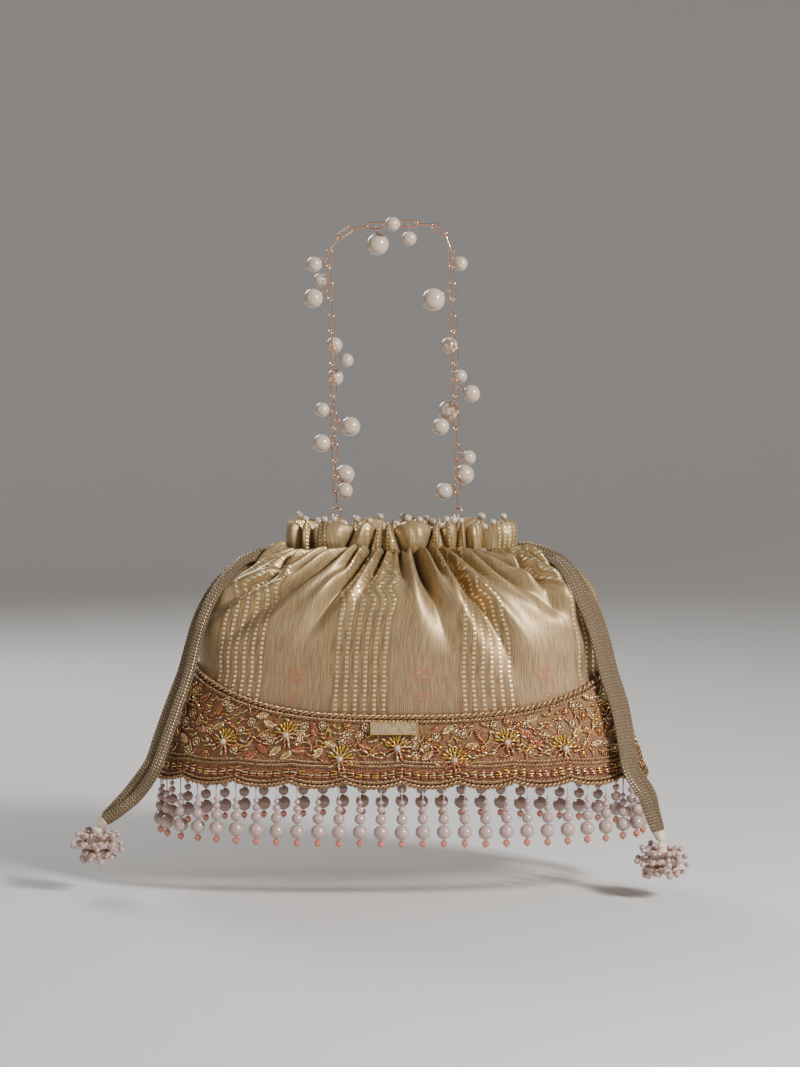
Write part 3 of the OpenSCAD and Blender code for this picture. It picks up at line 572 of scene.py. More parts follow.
def on_band(along, height, lift=0.0, back=False):
    """A point lift clear of the border, along being metres from its middle to the right."""
    u = ((along / HEM_LENGTH + (1.0 if back else 0.5)) % 1.0) * 1200
    v = min(max((height + 0.006) / 0.002, 0.0), 34.999)
    i, j = min(int(u), 1199), int(v)
    u, v = u - i, v - j
    p = (face_points[i, j] * (1 - u) + face_points[i + 1, j] * u) * (1 - v) \
        + (face_points[i, j + 1] * (1 - u) + face_points[i + 1, j + 1] * u) * v
    facing = Vector(face_normals[i, j])
    return Vector(p) + facing * lift, facing


net, shader, place, cloth = finish_of("border_cloth", "border_cloth", (0.2, 0.1, 0.05), 0.6, metallic=0.2)
scribble = cloth.node("TexVoronoi", {"feature": "DISTANCE_TO_EDGE"}, {"Vector": cloth, "Scale": 380.0})
thread = cloth.node("Mapping", {}, {"Vector": cloth, "Scale": (1500.0, 1500.0, 1.0)}).noise(1.0, 3.0)
low = (cloth.split(1) * 30.0).node("Clamp", sockets={0: cloth.split(1) * 30.0})
tone = low.mix((0.145, 0.052, 0.030, 1), (0.165, 0.092, 0.040, 1))
drive(shader, base_color=scribble.band(-1.0, 0.09, 0.06).mix(tone, (0.30, 0.14, 0.055, 1)),
      roughness=0.42 + thread * 0.3, metallic=scribble.band(-1.0, 0.09, 0.06) * 0.6,
      height=thread * 0.00018 + scribble.band(-1.0, 0.09, 0.06) * 0.0002)
for side in ("front", "back"):
    bm = bmesh.new()
    bmesh.ops.create_grid(bm, x_segments=420, y_segments=16, size=1)
    grid = np.array([v.co for v in bm.verts])
    share = grid[:, 0] * 0.2495 + (0.0 if side == "front" else 0.5)
    rise = (grid[:, 1] + 1) / 2
    height = band_foot(share) + (band_top(share) - band_foot(share)) * rise
    plump = 1 - np.abs(2 * rise - 1) ** 5
    outer, facing = skin(share, height, 0.0018 + 0.0012 * plump)
    for vert, p in zip(bm.verts, outer):
        vert.co = p
    uv = bm.loops.layers.uv.new("cloth")
    for face in bm.faces:
        for loop in face.loops:
            k = loop.vert.index
            loop[uv].uv = (grid[k, 0] * 0.147, height[k])
    inner = bmesh.ops.extrude_face_region(bm, geom=list(bm.faces))
    moved = [g for g in inner["geom"] if isinstance(g, bmesh.types.BMVert)]
    for vert in moved:
        p = vert.co - Vector(BAG)
        flat = Vector((p.x / BASE_A ** 2, p.y / BASE_B ** 2, 0)).normalized()
        vert.co -= flat * 0.0016
    piece(side + "_border_net", bm, [net], "bag", [side + "_border"])

# Two twisted metallic cords lie side by side along the border's upper edge, and rows of chained
# cord follow the scallops.
gimp, shader, place, cloth = finish_of("gold_thread", "gold_thread", (0.46, 0.33, 0.20), 0.34, metallic=0.6)
strands = place.noise(1700.0, 2.0)
drive(shader, base_color=strands.band(0.47, 2.0, 0.09).mix((0.10, 0.045, 0.02, 1), (0.50, 0.30, 0.15, 1)),
      height=strands * 0.00012)
for side in ("front", "back"):
    back = side == "back"
    bm = bmesh.new()
    steps = 220
    for lift, above, thick, pitch, phase in ((-0.0010, 0.0010, 0.0030, 0.0062, 0.0),
                                             (-0.0002, -0.0013, 0.0020, 0.0040, 1.4)):
        path = []
        for k in range(steps + 1):
            share = (k / steps - 0.5) * 0.498
            p, _ = on_band(share * HEM_LENGTH, float(band_top(share)) + above, lift, back)
            path.append(p)
        rope(bm, path, thick, pitch, phase=phase)
    for lift, above, thick, pitch, share_of_drop in ((0.0002, 0.0008, 0.0026, 0.0048, 1.0),
                                                     (0.0002, 0.0031, 0.0018, 0.0036, 1.0),
                                                     (0.0003, 0.0096, 0.0018, 0.0036, 0.35),
                                                     (0.0003, 0.0116, 0.0018, 0.0036, 0.35)):
        path = []
        for k in range(steps * 2 + 1):
            share = (k / steps / 2 - 0.5) * 0.498
            p, _ = on_band(share * HEM_LENGTH, float(band_foot(share)) * share_of_drop + above, lift, back)
            path.append(p)
        rope(bm, path, thick, pitch, steps=7, sides=4)
    piece(side + "_edge_cords", bm, [gimp], "bag", [side + "_border_trim"])

# ---------------------------------------------------------------------------
# Bead embroidery: ten-petalled flowers with a pearl centre in a wave along the border, joined by
# vines of bugle beads, coiled leaves and rings of seed beads; lens-shaped rows fill the scallops.
# ---------------------------------------------------------------------------
copper, shader, place, cloth = finish_of("copper_beads", "copper_beads", (0.50, 0.19, 0.09), 0.2,
                                         metallic=0.85, coat=0.4)
gold, shader, place, cloth = finish_of("gold_beads", "gold_beads", (0.62, 0.36, 0.08), 0.2, metallic=0.85,
                                       coat=0.4)
pale_gold, shader, place, cloth = finish_of("pale_gold_beads", "gold_beads", (0.66, 0.47, 0.26), 0.16,
                                            metallic=0.8, coat=0.5)
mustard, shader, place, cloth = finish_of("mustard_fill", "gold_beads", (0.55, 0.36, 0.05), 0.35,
                                          metallic=0.5)
spots = [(-0.97, 0.74), (-0.76, 0.47), (-0.5, 0.69), (-0.26, 0.38), (-0.02, 0.56), (0.22, 0.36),
         (0.45, 0.6),
         (0.69, 0.42), (0.94, 0.72)]
flowers = []
for x, level in spots:
    t = -math.acos(math.copysign(abs(x) ** (SQUARE / 2), x))
    share = float(share_of(t))
    share = share - 1 if share > 0.5 else share
    flowers.append((share * HEM_LENGTH, level * float(band_top(share))))


def stitch(bm, along, height, heading, length, diameter, slot, back, lift=0.0006):
    """One bugle bead laid on the border, heading in radians from the hem's direction."""
    p, n = on_band(along, height, lift, back)
    q, _ = on_band(along + 0.0006 * math.cos(heading), height + 0.0006 * math.sin(heading), lift, back)
    bead(bm, p, q - p, diameter, length, slot)


for side in ("front", "back"):
    back = side == "back"
    chance = random.Random(5 if back else 3)
    bm = bmesh.new()
    for along, height in flowers:
        for k in range(10):
            a = 2 * math.pi * (k + 0.35) / 10
            upper = math.sin(a) > -0.1
            for j in (0, 1):
                r = (2.9 + 2.9 * j) / 1000
                b = a + (0.12 if j else 0.0) * (1 if k % 2 else -1)
                stitch(bm, along + r * math.cos(b), height + r * math.sin(b), b, 0.0031 - 0.0003 * j,
                       0.0013,
                       (1 if upper else 0) if chance.random() < 0.72 else 2, back, 0.0010 - 0.0003 * j)
            if upper:
                for j in (-1, 1):
                    b = a + 0.17 * j
                    stitch(bm, along + 0.0052 * math.cos(b), height + 0.0052 * math.sin(b), b, 0.0030,
                           0.0009, 3, back, 0.0004)
        p, n = on_band(along, height, 0.0019, back)
        ball(bm, p, 0.0032, slot=4, u=14, v=9)
    piece(side + "_flower_beads", bm, [copper, gold, pale_gold, mustard, nacre], "bag", [side + "_flowers"])

    bm = bmesh.new()
    taken = [(a, h, 0.0070) for a, h in flowers]
    if not back:
        taken += [(-0.013 + 0.0065 * k, 0.0288, 0.0044) for k in range(5)]
    # Vines: an S of bugle beads between neighbouring flowers
    for (a0, h0), (a1, h1) in zip(flowers, flowers[1:]):
        for bend, slot in ((0.0042, 2), (-0.0040, 1)):
            last = None
            for k in range(1, 8):
                f = k / 8
                a = a0 + (a1 - a0) * f
                h = h0 + (h1 - h0) * (3 * f * f - 2 * f ** 3) + bend * math.sin(2 * math.pi * f)
                if last and all(math.hypot(a - x, h - y) > r * 0.8 for x, y, r in taken[:9]):
                    stitch(bm, (a + last[0]) / 2, (h + last[1]) / 2, math.atan2(h - last[1], a - last[0]),
                           0.0034,
                           0.0011, slot if chance.random() < 0.7 else 0, back, 0.0008)
                last = (a, h)
    # Leaves, rings and curls wherever there is room above the chained rows
    for _ in range(6000):
        a = chance.uniform(-0.1445, 0.1445)
        share = a / HEM_LENGTH
        h = chance.uniform(0.0135, float(band_top(share)) - 0.0032)
        kind = chance.random()
        r = 0.0034 if kind < 0.42 else 0.0025 if kind < 0.60 else 0.0014
        if any(math.hypot(a - x, h - y) < r + s * 0.86 for x, y, s in taken):
            continue
        taken.append((a, h, r))
        heading = chance.uniform(-0.5, 0.7) if chance.random() < 0.6 else chance.uniform(0, math.pi)
        warm = chance.random() < (0.30 + 0.9 * max(0.0, 0.6 - h / 0.035))
        if kind < 0.42:                                 # a coiled leaf: slanting beads either side of a rib
            for k in range(6):
                f = (k - 2.5) * 0.00108
                for j in (-1, 1):
                    wide = 0.0017 * (1 - abs(k - 2.2) / 4.4)
                    x = f + 0.0004 * j
                    stitch(bm, a + x * math.cos(heading) - j * wide * 0.6 * math.sin(heading),
                           h + x * math.sin(heading) + j * wide * 0.6 * math.cos(heading),
                           heading + j * 1.05, 0.0012 + wide * 0.7, 0.0009,
                           0 if warm else (2 if k % 3 else 1), back, 0.0006)
        elif kind < 0.66:                               # a ring of seed beads round a sequin
            for k in range(9):
                b = 2 * math.pi * k / 9
                p, n = on_band(a + 0.0019 * math.cos(b), h + 0.0019 * math.sin(b), 0.0006, back)
                ball(bm, p, 0.0011, slot=0 if warm else 2, u=7, v=5)
            p, n = on_band(a, h, 0.0007, back)
            bead(bm, p, n, 0.0021, 0.0006, 1 if warm else 2, sides=8)
        else:                                           # a short curl of two beads
            for j in (-1, 1):
                stitch(bm, a + j * 0.0011 * math.cos(heading), h + j * 0.0011 * math.sin(heading),
                       heading + 0.35 * j,
                       0.0024, 0.0010, chance.choice((0, 1, 2)), back, 0.0006)
    # Rows that fill the scallops: beads nose to tail in arcs between the chained cords
    for k in range(int(0.292 / 0.0042)):
        a = -0.146 + 0.0042 * (k + 0.5)
        share = a / HEM_LENGTH
        foot = float(band_foot(share))
        wave = abs(math.sin(math.pi * SCALLOPS * share))
        for level, slot in ((0.0044 + 0.0007 * wave, 0), (0.0062, 2), (0.0080 - 0.0006 * wave, 0)):
            slope = 0.22 * math.cos(math.pi * SCALLOPS * share)
            slope *= 1 if math.sin(math.pi * SCALLOPS * share) > 0 else -1
            stitch(bm, a + chance.uniform(-0.0004, 0.0004), foot * 0.7 + level,
                   slope * (1 if slot == 0 else -1)
                   + chance.uniform(-0.12, 0.12), 0.0034, 0.0010, slot if chance.random() < 0.75 else 1,
                   back, 0.0005)
    piece(side + "_bead_embroidery", bm, [copper, gold, pale_gold], "bag", [side + "_bugle_beads"])

# ---------------------------------------------------------------------------
# Label: a blank brushed plate with a raised rim, sewn under the border's upper edge.
# ---------------------------------------------------------------------------
plate, shader, place, cloth = finish_of("label_metal", "label_metal", (0.74, 0.52, 0.16), 0.26,
                                        metallic=1.0)
grain = place.node("Mapping", {}, {"Vector": place, "Scale": (90.0, 90.0, 2600.0)}).noise(1.0, 2.0)
drive(shader, roughness=0.22 + grain * 0.2, height=grain * 0.00002)
bm = bmesh.new()
bmesh.ops.create_cube(bm, size=1, matrix=Matrix.Translation(BAG + Vector((-0.004, -0.0528, 0.02875)))
                      @ Matrix.Diagonal((0.024, 0.0009, 0.0065, 1)))
front = [f for f in bm.faces if f.normal.y < -0.9]
bmesh.ops.inset_region(bm, faces=front, thickness=0.0006, depth=0.0)
bmesh.ops.inset_region(bm, faces=front, thickness=0.0002, depth=-0.00025)
for face in front:
    face.material_index = 1
bmesh.ops.bevel(bm, geom=[e for e in bm.edges if e.calc_length() < 0.001], offset=0.00018, segments=2,
                profile=0.5, affect="EDGES", material=-1)
for x in (-0.0153, 0.0073):
    bead(bm, BAG + Vector((x, -0.0534, 0.02875)), (0, -1, 0), 0.0011, 0.0006, 0, sides=10)
speckled, shader, place, cloth = finish_of("label_speckled", "label_metal", (0.40, 0.27, 0.13), 0.5,
                                           metallic=0.7)
speck = place.noise(2600.0, 1.0).band(0.50, 2.0, 0.05)
drive(shader, base_color=speck.mix((0.20, 0.11, 0.05, 1), (0.62, 0.50, 0.30, 1)), height=speck * 0.00005)
piece("label_plate_blank", bm, [plate, speckled], "bag", ["label_plate"], smooth=False)

# ---------------------------------------------------------------------------
# Fringe: strands of four growing pearls on a thread, each ending in a small faceted crystal.
# ---------------------------------------------------------------------------
blush, shader, place, cloth = finish_of("pink_pearl", "pink_pearl", (0.74, 0.63, 0.58), 0.2, coat=0.8, **{
    "Coat Roughness": 0.07, "Specular IOR Level": 0.6})
cloud = place.noise(220.0, 2.0)
drive(shader, base_color=cloud.mix((0.50, 0.37, 0.32, 1), (0.38, 0.24, 0.22, 1)),
      roughness=0.15 + cloud * 0.14)
crystal, shader, place, cloth = finish_of("crystal", "pink_pearl", (0.80, 0.32, 0.22), 0.06, coat=0.5,
                                          **{"Transmission Weight": 0.55, "IOR": 1.55})
string, shader, place, cloth = finish_of("fringe_thread", "cream_thread", (0.55, 0.44, 0.38), 0.5)
sizes = (2.8, 4.0, 5.8, 7.6)
for group in range(18):
    bm = bmesh.new()
    chance = random.Random(40 + group)
    for k in range(3):
        share = (3 * group + k + 0.5) / 54 - 0.75         # counted from the right-hand side
        top, n = skin(np.array([share]), np.array([0.0]), np.array([0.002]))
        foot = float(band_foot(share))
        p = Vector(top[0]) + Vector((0, 0, foot - 0.00035))
        down = (foot - 0.00035) * 0
        tube(bm, [p, p + Vector((0, 0, -0.0092 - foot + 0.0005))], 0.00034, sides=6, slot=2)
        z = -0.0088
        base = Vector(top[0])
        for d in sizes:
            d = d * chance.uniform(0.97, 1.03)
            z -= d / 2000
            ball(bm, base + Vector((0, 0, z)), d / 1000, u=18 if d > 3.5 else 12, v=12 if d > 3.5 else 8,
                 squash=0.96)
            z -= d / 2000 + 0.0001
        tube(bm, [base + Vector((0, 0, -0.0085)), base + Vector((0, 0, z))], 0.0002, sides=5, slot=2)
        cut = bmesh.ops.create_uvsphere(bm, u_segments=7, v_segments=5, radius=0.0019,
                                        matrix=Matrix.Translation(base + Vector((0, 0, z - 0.0019))))
        for vert in cut["verts"]:
            for face in vert.link_faces:
                face.material_index = 1
        bead(bm, base + Vector((0, 0, z - 0.0041)), (0, 0, 1), 0.0008, 0.0006, 2)
    made = piece("fringe_strands_%d" % (group + 1), bm, [blush, crystal, string], "fringe_%d" % (group + 1),
                 ["fringe_group_%d" % (group + 1)])
    for face in made.data.polygons:
        face.use_smooth = face.material_index != 1

# ---------------------------------------------------------------------------
# Chain handle: paperclip links of round rose-gold wire, every second one turned across; pearls of
# several sizes hang from them on small wire eyes.
# ---------------------------------------------------------------------------
rose, shader, place, cloth = finish_of("rose_gold", "rose_gold", (0.78, 0.42, 0.24), 0.2, metallic=1.0)
WIRE, WIDE, PITCH, GAP = 0.0008, 0.0038, 0.0084, 0.0002
STEP = (WIRE + GAP) / 2
TOP = (56, 33, 7, 4, 4, 2, -6, -38, -70)


def heading(degrees):
    return Vector((math.cos(math.radians(degrees)), 0, math.sin(math.radians(degrees))))


def frame_along(at, direction):
    """SCAD-like placing: +Z along a direction in the handle's plane, +X staying in that plane."""
    return Matrix.Translation(at) @ Matrix.Rotation(math.atan2(direction.x, direction.z), 4, "Y")


def link(bm, at, direction, across):
    r = (WIDE - WIRE) / 2
    straight = PITCH + 2 * STEP - 2 * r
    m = frame_along(at, direction) @ Matrix.Rotation(math.pi / 2 if across else 0, 4,
                                                     "Z") @ Matrix.Translation((0, 0, r - STEP))
    points = [Vector((r * math.cos(math.pi + math.pi * k / 12), 0,
                      r * math.sin(math.pi + math.pi * k / 12))) for k in range(13)]
    points += [Vector((r, 0, straight * k / 3)) for k in (1, 2)]
    points += [Vector((r * math.cos(math.pi * k / 12), 0,
                       straight + r * math.sin(math.pi * k / 12))) for k in range(13)]
    points += [Vector((-r, 0, straight * k / 3)) for k in (2, 1)]
    tube(bm, [m @ p for p in points], WIRE / 2, sides=10, closed=True)


def charm(wire, pearls, at, direction, across, angle, d):
    """A pearl on an eye of wire round one side of a link; angle is round the chain, 0 at its own +X."""
    r = (WIDE - WIRE) / 2
    c, s = math.cos(math.radians(angle)), math.sin(math.radians(angle))
    edge = Vector((0, math.copysign(r, s) if s else r, 0)) if across else Vector((math.copysign(r, c), 0,
            0))
    eye = edge + 0.0006 * Vector((c, s, 0))
    drop = 0.35 * d
    m = frame_along(at, direction)
    tube(wire, [m @ (eye + 0.0014 * Vector((math.cos(k * math.pi / 12), math.sin(k * math.pi / 12), 0.00)))
                for k in range(24)], 0.0003, sides=6, closed=True)
    foot = eye + 0.0014 * Vector((c, s, 0))
    hang = eye + (0.0014 + 0.0004 + d / 2) * Vector((c, s, 0)) + Vector((0, 0, drop))
    tube(wire, [m @ foot, m @ foot.lerp(hang, 0.5), m @ hang], 0.00025, sides=6)
    direction_out = (hang - foot).normalized()
    tube(wire, [m @ (hang + direction_out * (d / 2 - 0.0001)),
                m @ (hang + direction_out * (d / 2 + 0.0005))], 0.0004, sides=8)
    spin = m @ Matrix.Translation(hang)
    made = bmesh.ops.create_uvsphere(pearls, u_segments=32, v_segments=20, radius=d / 2, matrix=spin)
    return made


joints = [Vector((0, 0, 0))]
for a in TOP:
    joints.append(joints[-1] + PITCH * heading(a))
middle = (joints[4] + joints[5]) / 2
joints = [p - middle for p in joints]
down = heading(-88.5)
left_pivot = joints[0] - STEP * heading(TOP[0])
right_pivot = joints[-1] + STEP * heading(TOP[-1])
starts = {"left": left_pivot - STEP * down, "right": right_pivot - STEP * down}

wire_bm, pearl_bm = bmesh.new(), bmesh.new()
for k, a in enumerate(TOP):
    link(wire_bm, joints[k], heading(a), k % 2 == 0)
for k, a, d in ((3, 270, 0.0115), (4, 270, 0.0076), (5, 270, 0.0076)):
    across = k % 2 == 0
    at = (joints[k] + joints[k + 1]) / 2
    r = (WIDE - WIRE) / 2
    turn = math.radians(a if across else 0)
    out = Vector((math.cos(turn), math.sin(turn), 0))
    m = frame_along(at, heading(TOP[k]))
    eye = out * (r + 0.0006)
    tube(wire_bm, [m @ (eye + 0.0014 * Vector((math.cos(j * math.pi / 12), math.sin(j * math.pi / 12), 0)))
                   for j in range(24)], 0.0003, sides=6, closed=True)
    hang = eye + out * (0.0018 + d / 2)
    tube(wire_bm, [m @ (eye + out * 0.0014), m @ hang], 0.00025, sides=6)
    bmesh.ops.create_uvsphere(pearl_bm, u_segments=32, v_segments=20, radius=d / 2,
                              matrix=m @ Matrix.Translation(hang))
piece("handle_top_chain", wire_bm, [rose], "handle_top", ["top_links"])
piece("handle_top_pearls", pearl_bm, [nacre], "handle_top", ["top_pearls"])

hung = {"left": ((0, 180, 8.2), (1, 150, 7.2), (2, 180, 10.2), (5, 80, 8.6), (6, 0, 7.2), (7, 80, 8.6),
                 (10, 20, 10.2),
                 (9, 200, 7.6), (11, 200, 9.2), (13, 50, 10.2), (14, 300, 8.4)),
        "right": ((0, 60, 7.6), (2, 180, 12.0), (5, 110, 8.6), (7, 60, 7.4), (8, 0, 9.2), (9, 120, 10.6),
                  (10, 200, 8.8),
                  (12, 320, 7.6), (13, 60, 10.6), (14, 215, 8.8))}
feet = {}
for side in ("left", "right"):
    wire_bm, pearl_bm = bmesh.new(), bmesh.new()
    for k in range(16):
        link(wire_bm, starts[side] + k * PITCH * down, down, k % 2 == 1)
    for k, a, d in hung[side]:
        charm(wire_bm, pearl_bm, starts[side] + (k + 0.5) * PITCH * down, down, k % 2 == 1, 180 - a,
              d / 1000)
    piece(side + "_leg_chain", wire_bm, [rose], side + "_leg", [side + "_leg_links"])
    piece(side + "_leg_hung_pearls", pearl_bm, [nacre], side + "_leg", [side + "_leg_pearls"])
    feet[side] = starts[side] + (16 * PITCH + STEP) * down
    ring = feet[side] - Vector((0, 0, 0.00255 - WIRE - GAP))
    bm = bmesh.new()
    tube(bm, [ring + 0.00255 * Vector((math.sin(k * math.pi / 20 + 0.3), 0,
                                       math.cos(k * math.pi / 20 + 0.3))) for k in range(39)],
         WIRE / 2, sides=10)
    piece(side + "_jump_ring", bm, [rose], side + "_ring", [side + "_end_ring"])

# ---------------------------------------------------------------------------
# Drawstrings: each side has two flat knitted braids that leave the casing on edge, turn to lie on
# the pouch, and hang past the hem to one bound end.
# ---------------------------------------------------------------------------
braid, shader, place, cloth = finish_of("cord_braid", "cord_braid", (0.42, 0.35, 0.22), 0.42, metallic=0.5)
wale = (cloth.split(0) * 1000.0) % 1.55
slant = (wale - 0.775).sum("ABSOLUTE", wale - 0.775)
loop_at = ((cloth.split(1) * 1000.0) - slant * 1.25) % 1.7
ridge = (loop_at - 0.85).sum("ABSOLUTE", loop_at - 0.85) * 1.18
stitched = (1.0 - ridge) * (slant * 1.29).band(0.10, 0.93, 0.13)
lustre = place.noise(900.0, 2.0)
# Where stitched is 0, in the grooves between the knitted loops and down the middle of each wale, the colour
# is painted near-black: painted shade in the recesses. The loops themselves take the cord's gold colour,
# varied by the lustre noise.
drive(shader, base_color=stitched.mix((0.060, 0.036, 0.018, 1),
                                      lustre.mix((0.33, 0.225, 0.12, 1), (0.58, 0.43, 0.26, 1))),
      roughness=0.55 - stitched * 0.22, metallic=stitched * 0.7, height=stitched * 0.00045)
cream, shader, place, cloth = finish_of("cream_thread", "cream_thread", (0.70, 0.56, 0.43), 0.4, sheen=0.3)
drape = {"left": ((187, 106.5, 5.5), (195, 101, 5.4), (199, 92, 5.8), (199, 80, 6.4), (197, 67, 7.4),
                  (196, 53, 10),
                  (197, 37, 11.5), (198, 20, 13), (199, 5, 15)),
         "right": ((-10, 106.5, 5.5), (-20, 101, 5.4), (-26, 92, 5.8), (-26, 80, 6.4), (-24, 67, 7.4),
                   (-23, 53, 10),
                   (-24, 37, 11.5), (-26, 20, 11.5), (-28, 5, 12))}
hang = {"left": ((13, -24, -8), (21, -24, -16), (29, -23, -23)),
        "right": ((1, -32, -8), (4, -34, -18), (7, -36, -27))}
late_spread = {"left": 2.2, "right": 1.1}              # how late the two legs slide apart
ends = {}
for side, hand in (("left", -1), ("right", 1)):
    points = []
    for run, aside in zip((0, 4, 8, 14), (0.52, 0.3, 0.1, 0.0)):
        points.append(((hand * (49.8 + 1 + run) / 1000, 0, 0.1145), (0, -1, 0), aside * 0.0145))
    for angle, h, off in drape[side]:
        p, n = skin(np.array([float(share_of(math.radians(angle)))]), np.array([h / 1000]),
                    np.array([off / 1000]))
        p = Vector(p[0]) - BAG
        n = (Vector(n[0]) + Vector((0, -1.6, 0))).normalized()
        points.append((tuple(p), tuple(n), 0.0))
    for x, y, h in hang[side]:
        points.append(((hand * (0.125 + x / 1000), y / 1000, h / 1000), (-0.2 * hand, -0.95, 0.2), 0.0))
    keys = np.array([(*p, *n, aside) for p, n, aside in points])
    line = []
    for k in range(len(keys) - 1):
        a, b, c, d = keys[max(k - 1, 0)], keys[k], keys[k + 1], keys[min(k + 2, len(keys) - 1)]
        for j in range(14):
            u = j / 14
            line.append(0.5 * (2 * b + (c - a) * u + (2 * a - 5 * b + 4 * c - d) * u * u
                               + (3 * b - a - 3 * c + d) * u ** 3))
    line.append(keys[-1])
    centre = [Vector(row[:3]) for row in line]
    for leg, sign in (("front", 1), ("back", -1)):
        bm = bmesh.new()
        uv = bm.loops.layers.uv.new("cloth")
        rings, mids, mile = [], [], 0.0
        for k, row in enumerate(line):
            d = (centre[min(k + 1, len(line) - 1)] - centre[max(k - 1, 0)]).normalized()
            facing = Vector(row[3:6])
            o = (facing - facing.dot(d) * d).normalized()
            w = d.cross(o)
            f = k / (len(line) - 1)
            spread = 0.0027 * max(math.sin(math.pi * f ** late_spread[side]), 0) ** 0.7
            mid = centre[k] + sign * (0.00135 * o + hand * spread * w) - sign * Vector((0, row[6], 0)) + BAG
            if mids:
                mile += (mid - mids[-1]).length
            mids.append(mid)
            ring = []
            for j in range(20):
                a = 2 * math.pi * j / 20
                c, s = math.cos(a), math.sin(a)
                ring.append(bm.verts.new(mid + 0.0031 * math.copysign(abs(c) ** 0.75, c) * w
                                         + 0.0011 * math.copysign(abs(s) ** 0.75, s) * o))
            rings.append((ring, mile))
        for (low, m0), (high, m1) in zip(rings, rings[1:]):
            for j in range(20):
                n = (j + 1) % 20
                face = bm.faces.new((low[j], low[n], high[n], high[j]))
                for loop, (u, v) in zip(face.loops, ((j, m0), (j + 1, m0), (j + 1, m1), (j, m1))):
                    a = 2 * math.pi * u / 20
                    loop[uv].uv = (0.0031 * (1 - math.cos(a)) * (1 if a <= math.pi else -1) + 0.031, v)
        bm.faces.new(rings[0][0][::-1])
        bm.faces.new(rings[-1][0])
        made = piece("%s_braid_%s" % (side, leg), bm, [braid], side + "_drawstring",
                     ["%s_cord_%s_leg" % (side, leg)])
        ends[side, leg] = (made, mids, mile)
    end = centre[-1] + BAG
    run = (keys[-1][:3] - keys[-2][:3])
    run = Vector(run).normalized()
    # The binding: cream thread wound round both braids' ends
    bm = bmesh.new()
    path = [end + run * 0.0003 + run * 0.004 * k / 60 for k in range(61)]
    side_vec = run.orthogonal().normalized()
    up_vec = run.cross(side_vec)
    coil = [p + (0.0029 - 0.0007 * k / 60) * (side_vec * math.cos(k * 0.84) + up_vec * math.sin(k * 0.84))
            for k, p in enumerate(path)]
    tube(bm, coil, 0.0004, sides=6)
    tube(bm, path[::6], lambda k: 0.0029 - 0.0007 * k / 10, sides=16)
    bound = piece(side + "_bound_end", bm, [cream], side + "_drawstring", [side + "_cord_binding"])

    # Tassel: a bell cap, with loops of wire that carry small pearls outwards in tiers
    top = end + run * 0.0056 - Vector((0, 0, 0.0014))
    bm = bmesh.new()
    outline_points = [(0.0006, 0.001), (0.0024, 0.0006), (0.0027, -0.0012), (0.0024, -0.0024),
                      (0.0034, -0.0036), (0.0052, -0.0058),
                      (0.0064, -0.0082), (0.0066, -0.0094), (0.0058, -0.0100), (0.0048, -0.0092),
                      (0.0020, -0.0080)]
    rings = []
    for r, z in outline_points:
        rings.append([bm.verts.new(top + Vector((r * math.cos(2 * math.pi * j / 32),
                                                 r * math.sin(2 * math.pi * j / 32),
                                                 z))) for j in range(32)])
    for low, high in zip(rings, rings[1:]):
        for j in range(32):
            bm.faces.new((low[j], low[(j + 1) % 32], high[(j + 1) % 32], high[j]))
    bm.faces.new(rings[0])
    bm.faces.new(rings[-1][::-1])
    tube(bm, [top - run * 0.0022, top], 0.0009, sides=8)
    cap = piece(side + "_tassel_bell", bm, [cream], side + "_tassel", [side + "_tassel_cap"])
    bm = bmesh.new()
    chance = random.Random(7 if side == "left" else 9)
    for tier, (count, reach, tilt, drop) in enumerate(((9, 9.5, 0.35, -4.5), (11, 12.2, -0.15, -7.0),
                                                       (10, 10.2, -0.75, -9.5), (5, 6.4, -1.3, -10.5))):
        for k in range(count):
            a = 2 * math.pi * (k + 0.5 * (tier % 2) + chance.uniform(-0.12, 0.12)) / count
            t = tilt + chance.uniform(-0.2, 0.2)
            out = Vector((math.cos(a) * math.cos(t), math.sin(a) * math.cos(t), math.sin(t)))
            sideways = Vector((-math.sin(a), math.cos(a), 0))
            start = top + Vector((0.0032 * math.cos(a), 0.0032 * math.sin(a), drop / 1000))
            r = reach / 1000 * chance.uniform(0.9, 1.08)
            loop_points = []
            for j in range(13):
                b = math.pi * (j / 12 - 0.5) * 1.7
                loop_points.append(start + out * (r * (0.42 + 0.5 * math.cos(b)) - 0.0012)
                                   + sideways * (0.0036 * math.sin(b)))
            tube(bm, [start] + loop_points + [start], 0.00022, sides=5, slot=1)
            for j in (3, 6, 9):
                d = chance.uniform(2.9, 3.7) / 1000
                ball(bm, loop_points[j], d, u=12, v=8, squash=0.95)
    pearls = piece(side + "_tassel_loops", bm, [blush, rose], side + "_tassel", [side + "_tassel_pearls"])
    for leg in ("front", "back"):
        made, mids, mile = ends[side, leg]

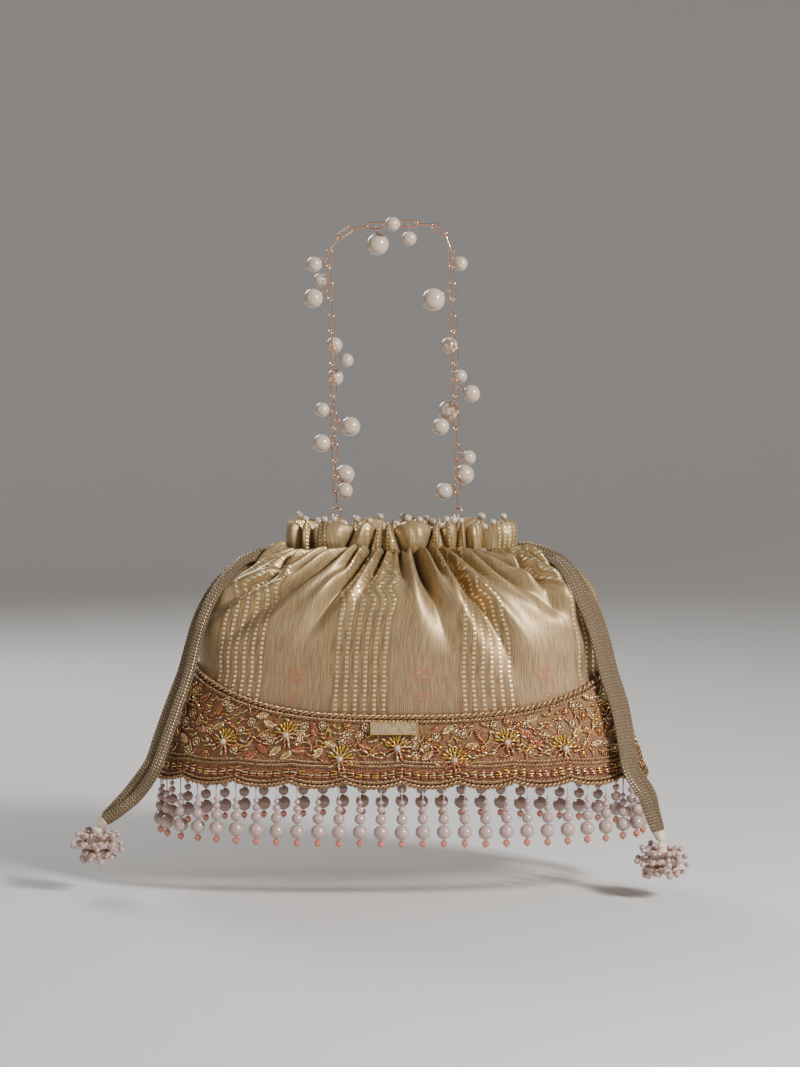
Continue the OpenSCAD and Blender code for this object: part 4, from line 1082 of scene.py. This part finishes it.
# ---------------------------------------------------------------------------
# Pieces kept as designed: the board and stiffener inside the wall, the cords in the channel, and the thread
# eyes that sew the handle's rings to the back.
# ---------------------------------------------------------------------------
for name, slot, light, dark, grain, kept in (
        ("raw_board", "base_board", (0.42, 0.33, 0.22), (0.29, 0.21, 0.13), (60.0, 700.0, 60.0),
         ["base_board"]),
        ("stiffener", "stiffener_board", (0.72, 0.69, 0.62), (0.58, 0.55, 0.48), (500.0, 500.0, 500.0),
         ["wall_stiffener"]),
        ("channel_cord", "cord_braid", (0.32, 0.25, 0.16), (0.12, 0.08, 0.05), (1400.0, 500.0, 500.0),
         ["front_channel_cords", "back_channel_cords"]),
        ("sewing_thread", "cream_thread", (0.58, 0.46, 0.32), (0.36, 0.27, 0.18), (2500.0, 2500.0, 900.0),
         ["left_handle_anchor", "right_handle_anchor"])):
    fibred, shader, place, cloth = finish_of(name, slot, light, 0.7)
    fibre = place.node("Mapping", {}, {"Vector": place, "Scale": grain}).noise(1.0, 3.0)
    drive(shader, base_color=fibre.mix((*dark, 1), (*light, 1)), roughness=0.6 + fibre * 0.25,
          height=fibre * 0.0001)
    for node in kept:
        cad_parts[node].data.materials.clear()
        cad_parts[node].data.materials.append(fibred)

# ---------------------------------------------------------------------------
# Studio: a pale floor that curves up into a wall all round, a broad soft key from the right, a low
# fill and a light from behind.
# ---------------------------------------------------------------------------
floor_bm = bmesh.new()
profile_line = [(0.0, 0.0), (1.7, 0.0)]
profile_line += [(1.7 + 1.5 * math.sin(k * math.pi / 24),
                  1.5 - 1.5 * math.cos(k * math.pi / 24)) for k in range(1, 13)]
profile_line += [(3.2, 3.6)]
edge = [floor_bm.verts.new((r, 0, BAG.z - 0.062 + z)) for r, z in profile_line]
for low, high in zip(edge, edge[1:]):
    floor_bm.edges.new((low, high))
bmesh.ops.spin(floor_bm, geom=list(floor_bm.verts) + list(floor_bm.edges), cent=(0, 0, 0), axis=(0, 0, 1),
               angle=2 * math.pi, steps=64, use_merge=True)
bmesh.ops.remove_doubles(floor_bm, verts=floor_bm.verts, dist=1e-5)
bmesh.ops.recalc_face_normals(floor_bm, faces=floor_bm.faces)
for face in floor_bm.faces:
    face.smooth = True
floor_mesh = bpy.data.meshes.new("studio_floor")
floor_bm.to_mesh(floor_mesh)
floor_bm.free()
floor = bpy.data.objects.new("studio_floor", floor_mesh)
scene.collection.objects.link(floor)
pale = bpy.data.materials.new("pale_floor")
pale.use_nodes = True
pale.node_tree.nodes["Principled BSDF"].inputs["Base Color"].default_value = (0.66, 0.64, 0.62, 1)
pale.node_tree.nodes["Principled BSDF"].inputs["Roughness"].default_value = 0.85
floor_mesh.materials.append(pale)
world = bpy.data.worlds.new("studio")
world.use_nodes = True
world.node_tree.nodes["Background"].inputs["Color"].default_value = (0.86, 0.85, 0.84, 1)
world.node_tree.nodes["Background"].inputs["Strength"].default_value = 0.34
scene.world = world
for name, where, aim_at, power, wide in (
        ("key", (0.85, -0.75, 0.42), (0.0, 0, -0.20), 27, 0.26),
        ("fill", (-1.0, -0.9, 0.05), (0, 0, -0.2), 2.2, 0.6),
        ("rim", (-0.5, 0.9, 0.5), (0, 0, -0.15), 8, 0.5)):
    light = bpy.data.lights.new(name, "AREA")
    light.energy = power
    light.size = wide
    made = bpy.data.objects.new(name, light)
    scene.collection.objects.link(made)
    made.location = where
    made.rotation_euler = (Vector(aim_at) - Vector(where)).to_track_quat("-Z", "Y").to_euler()
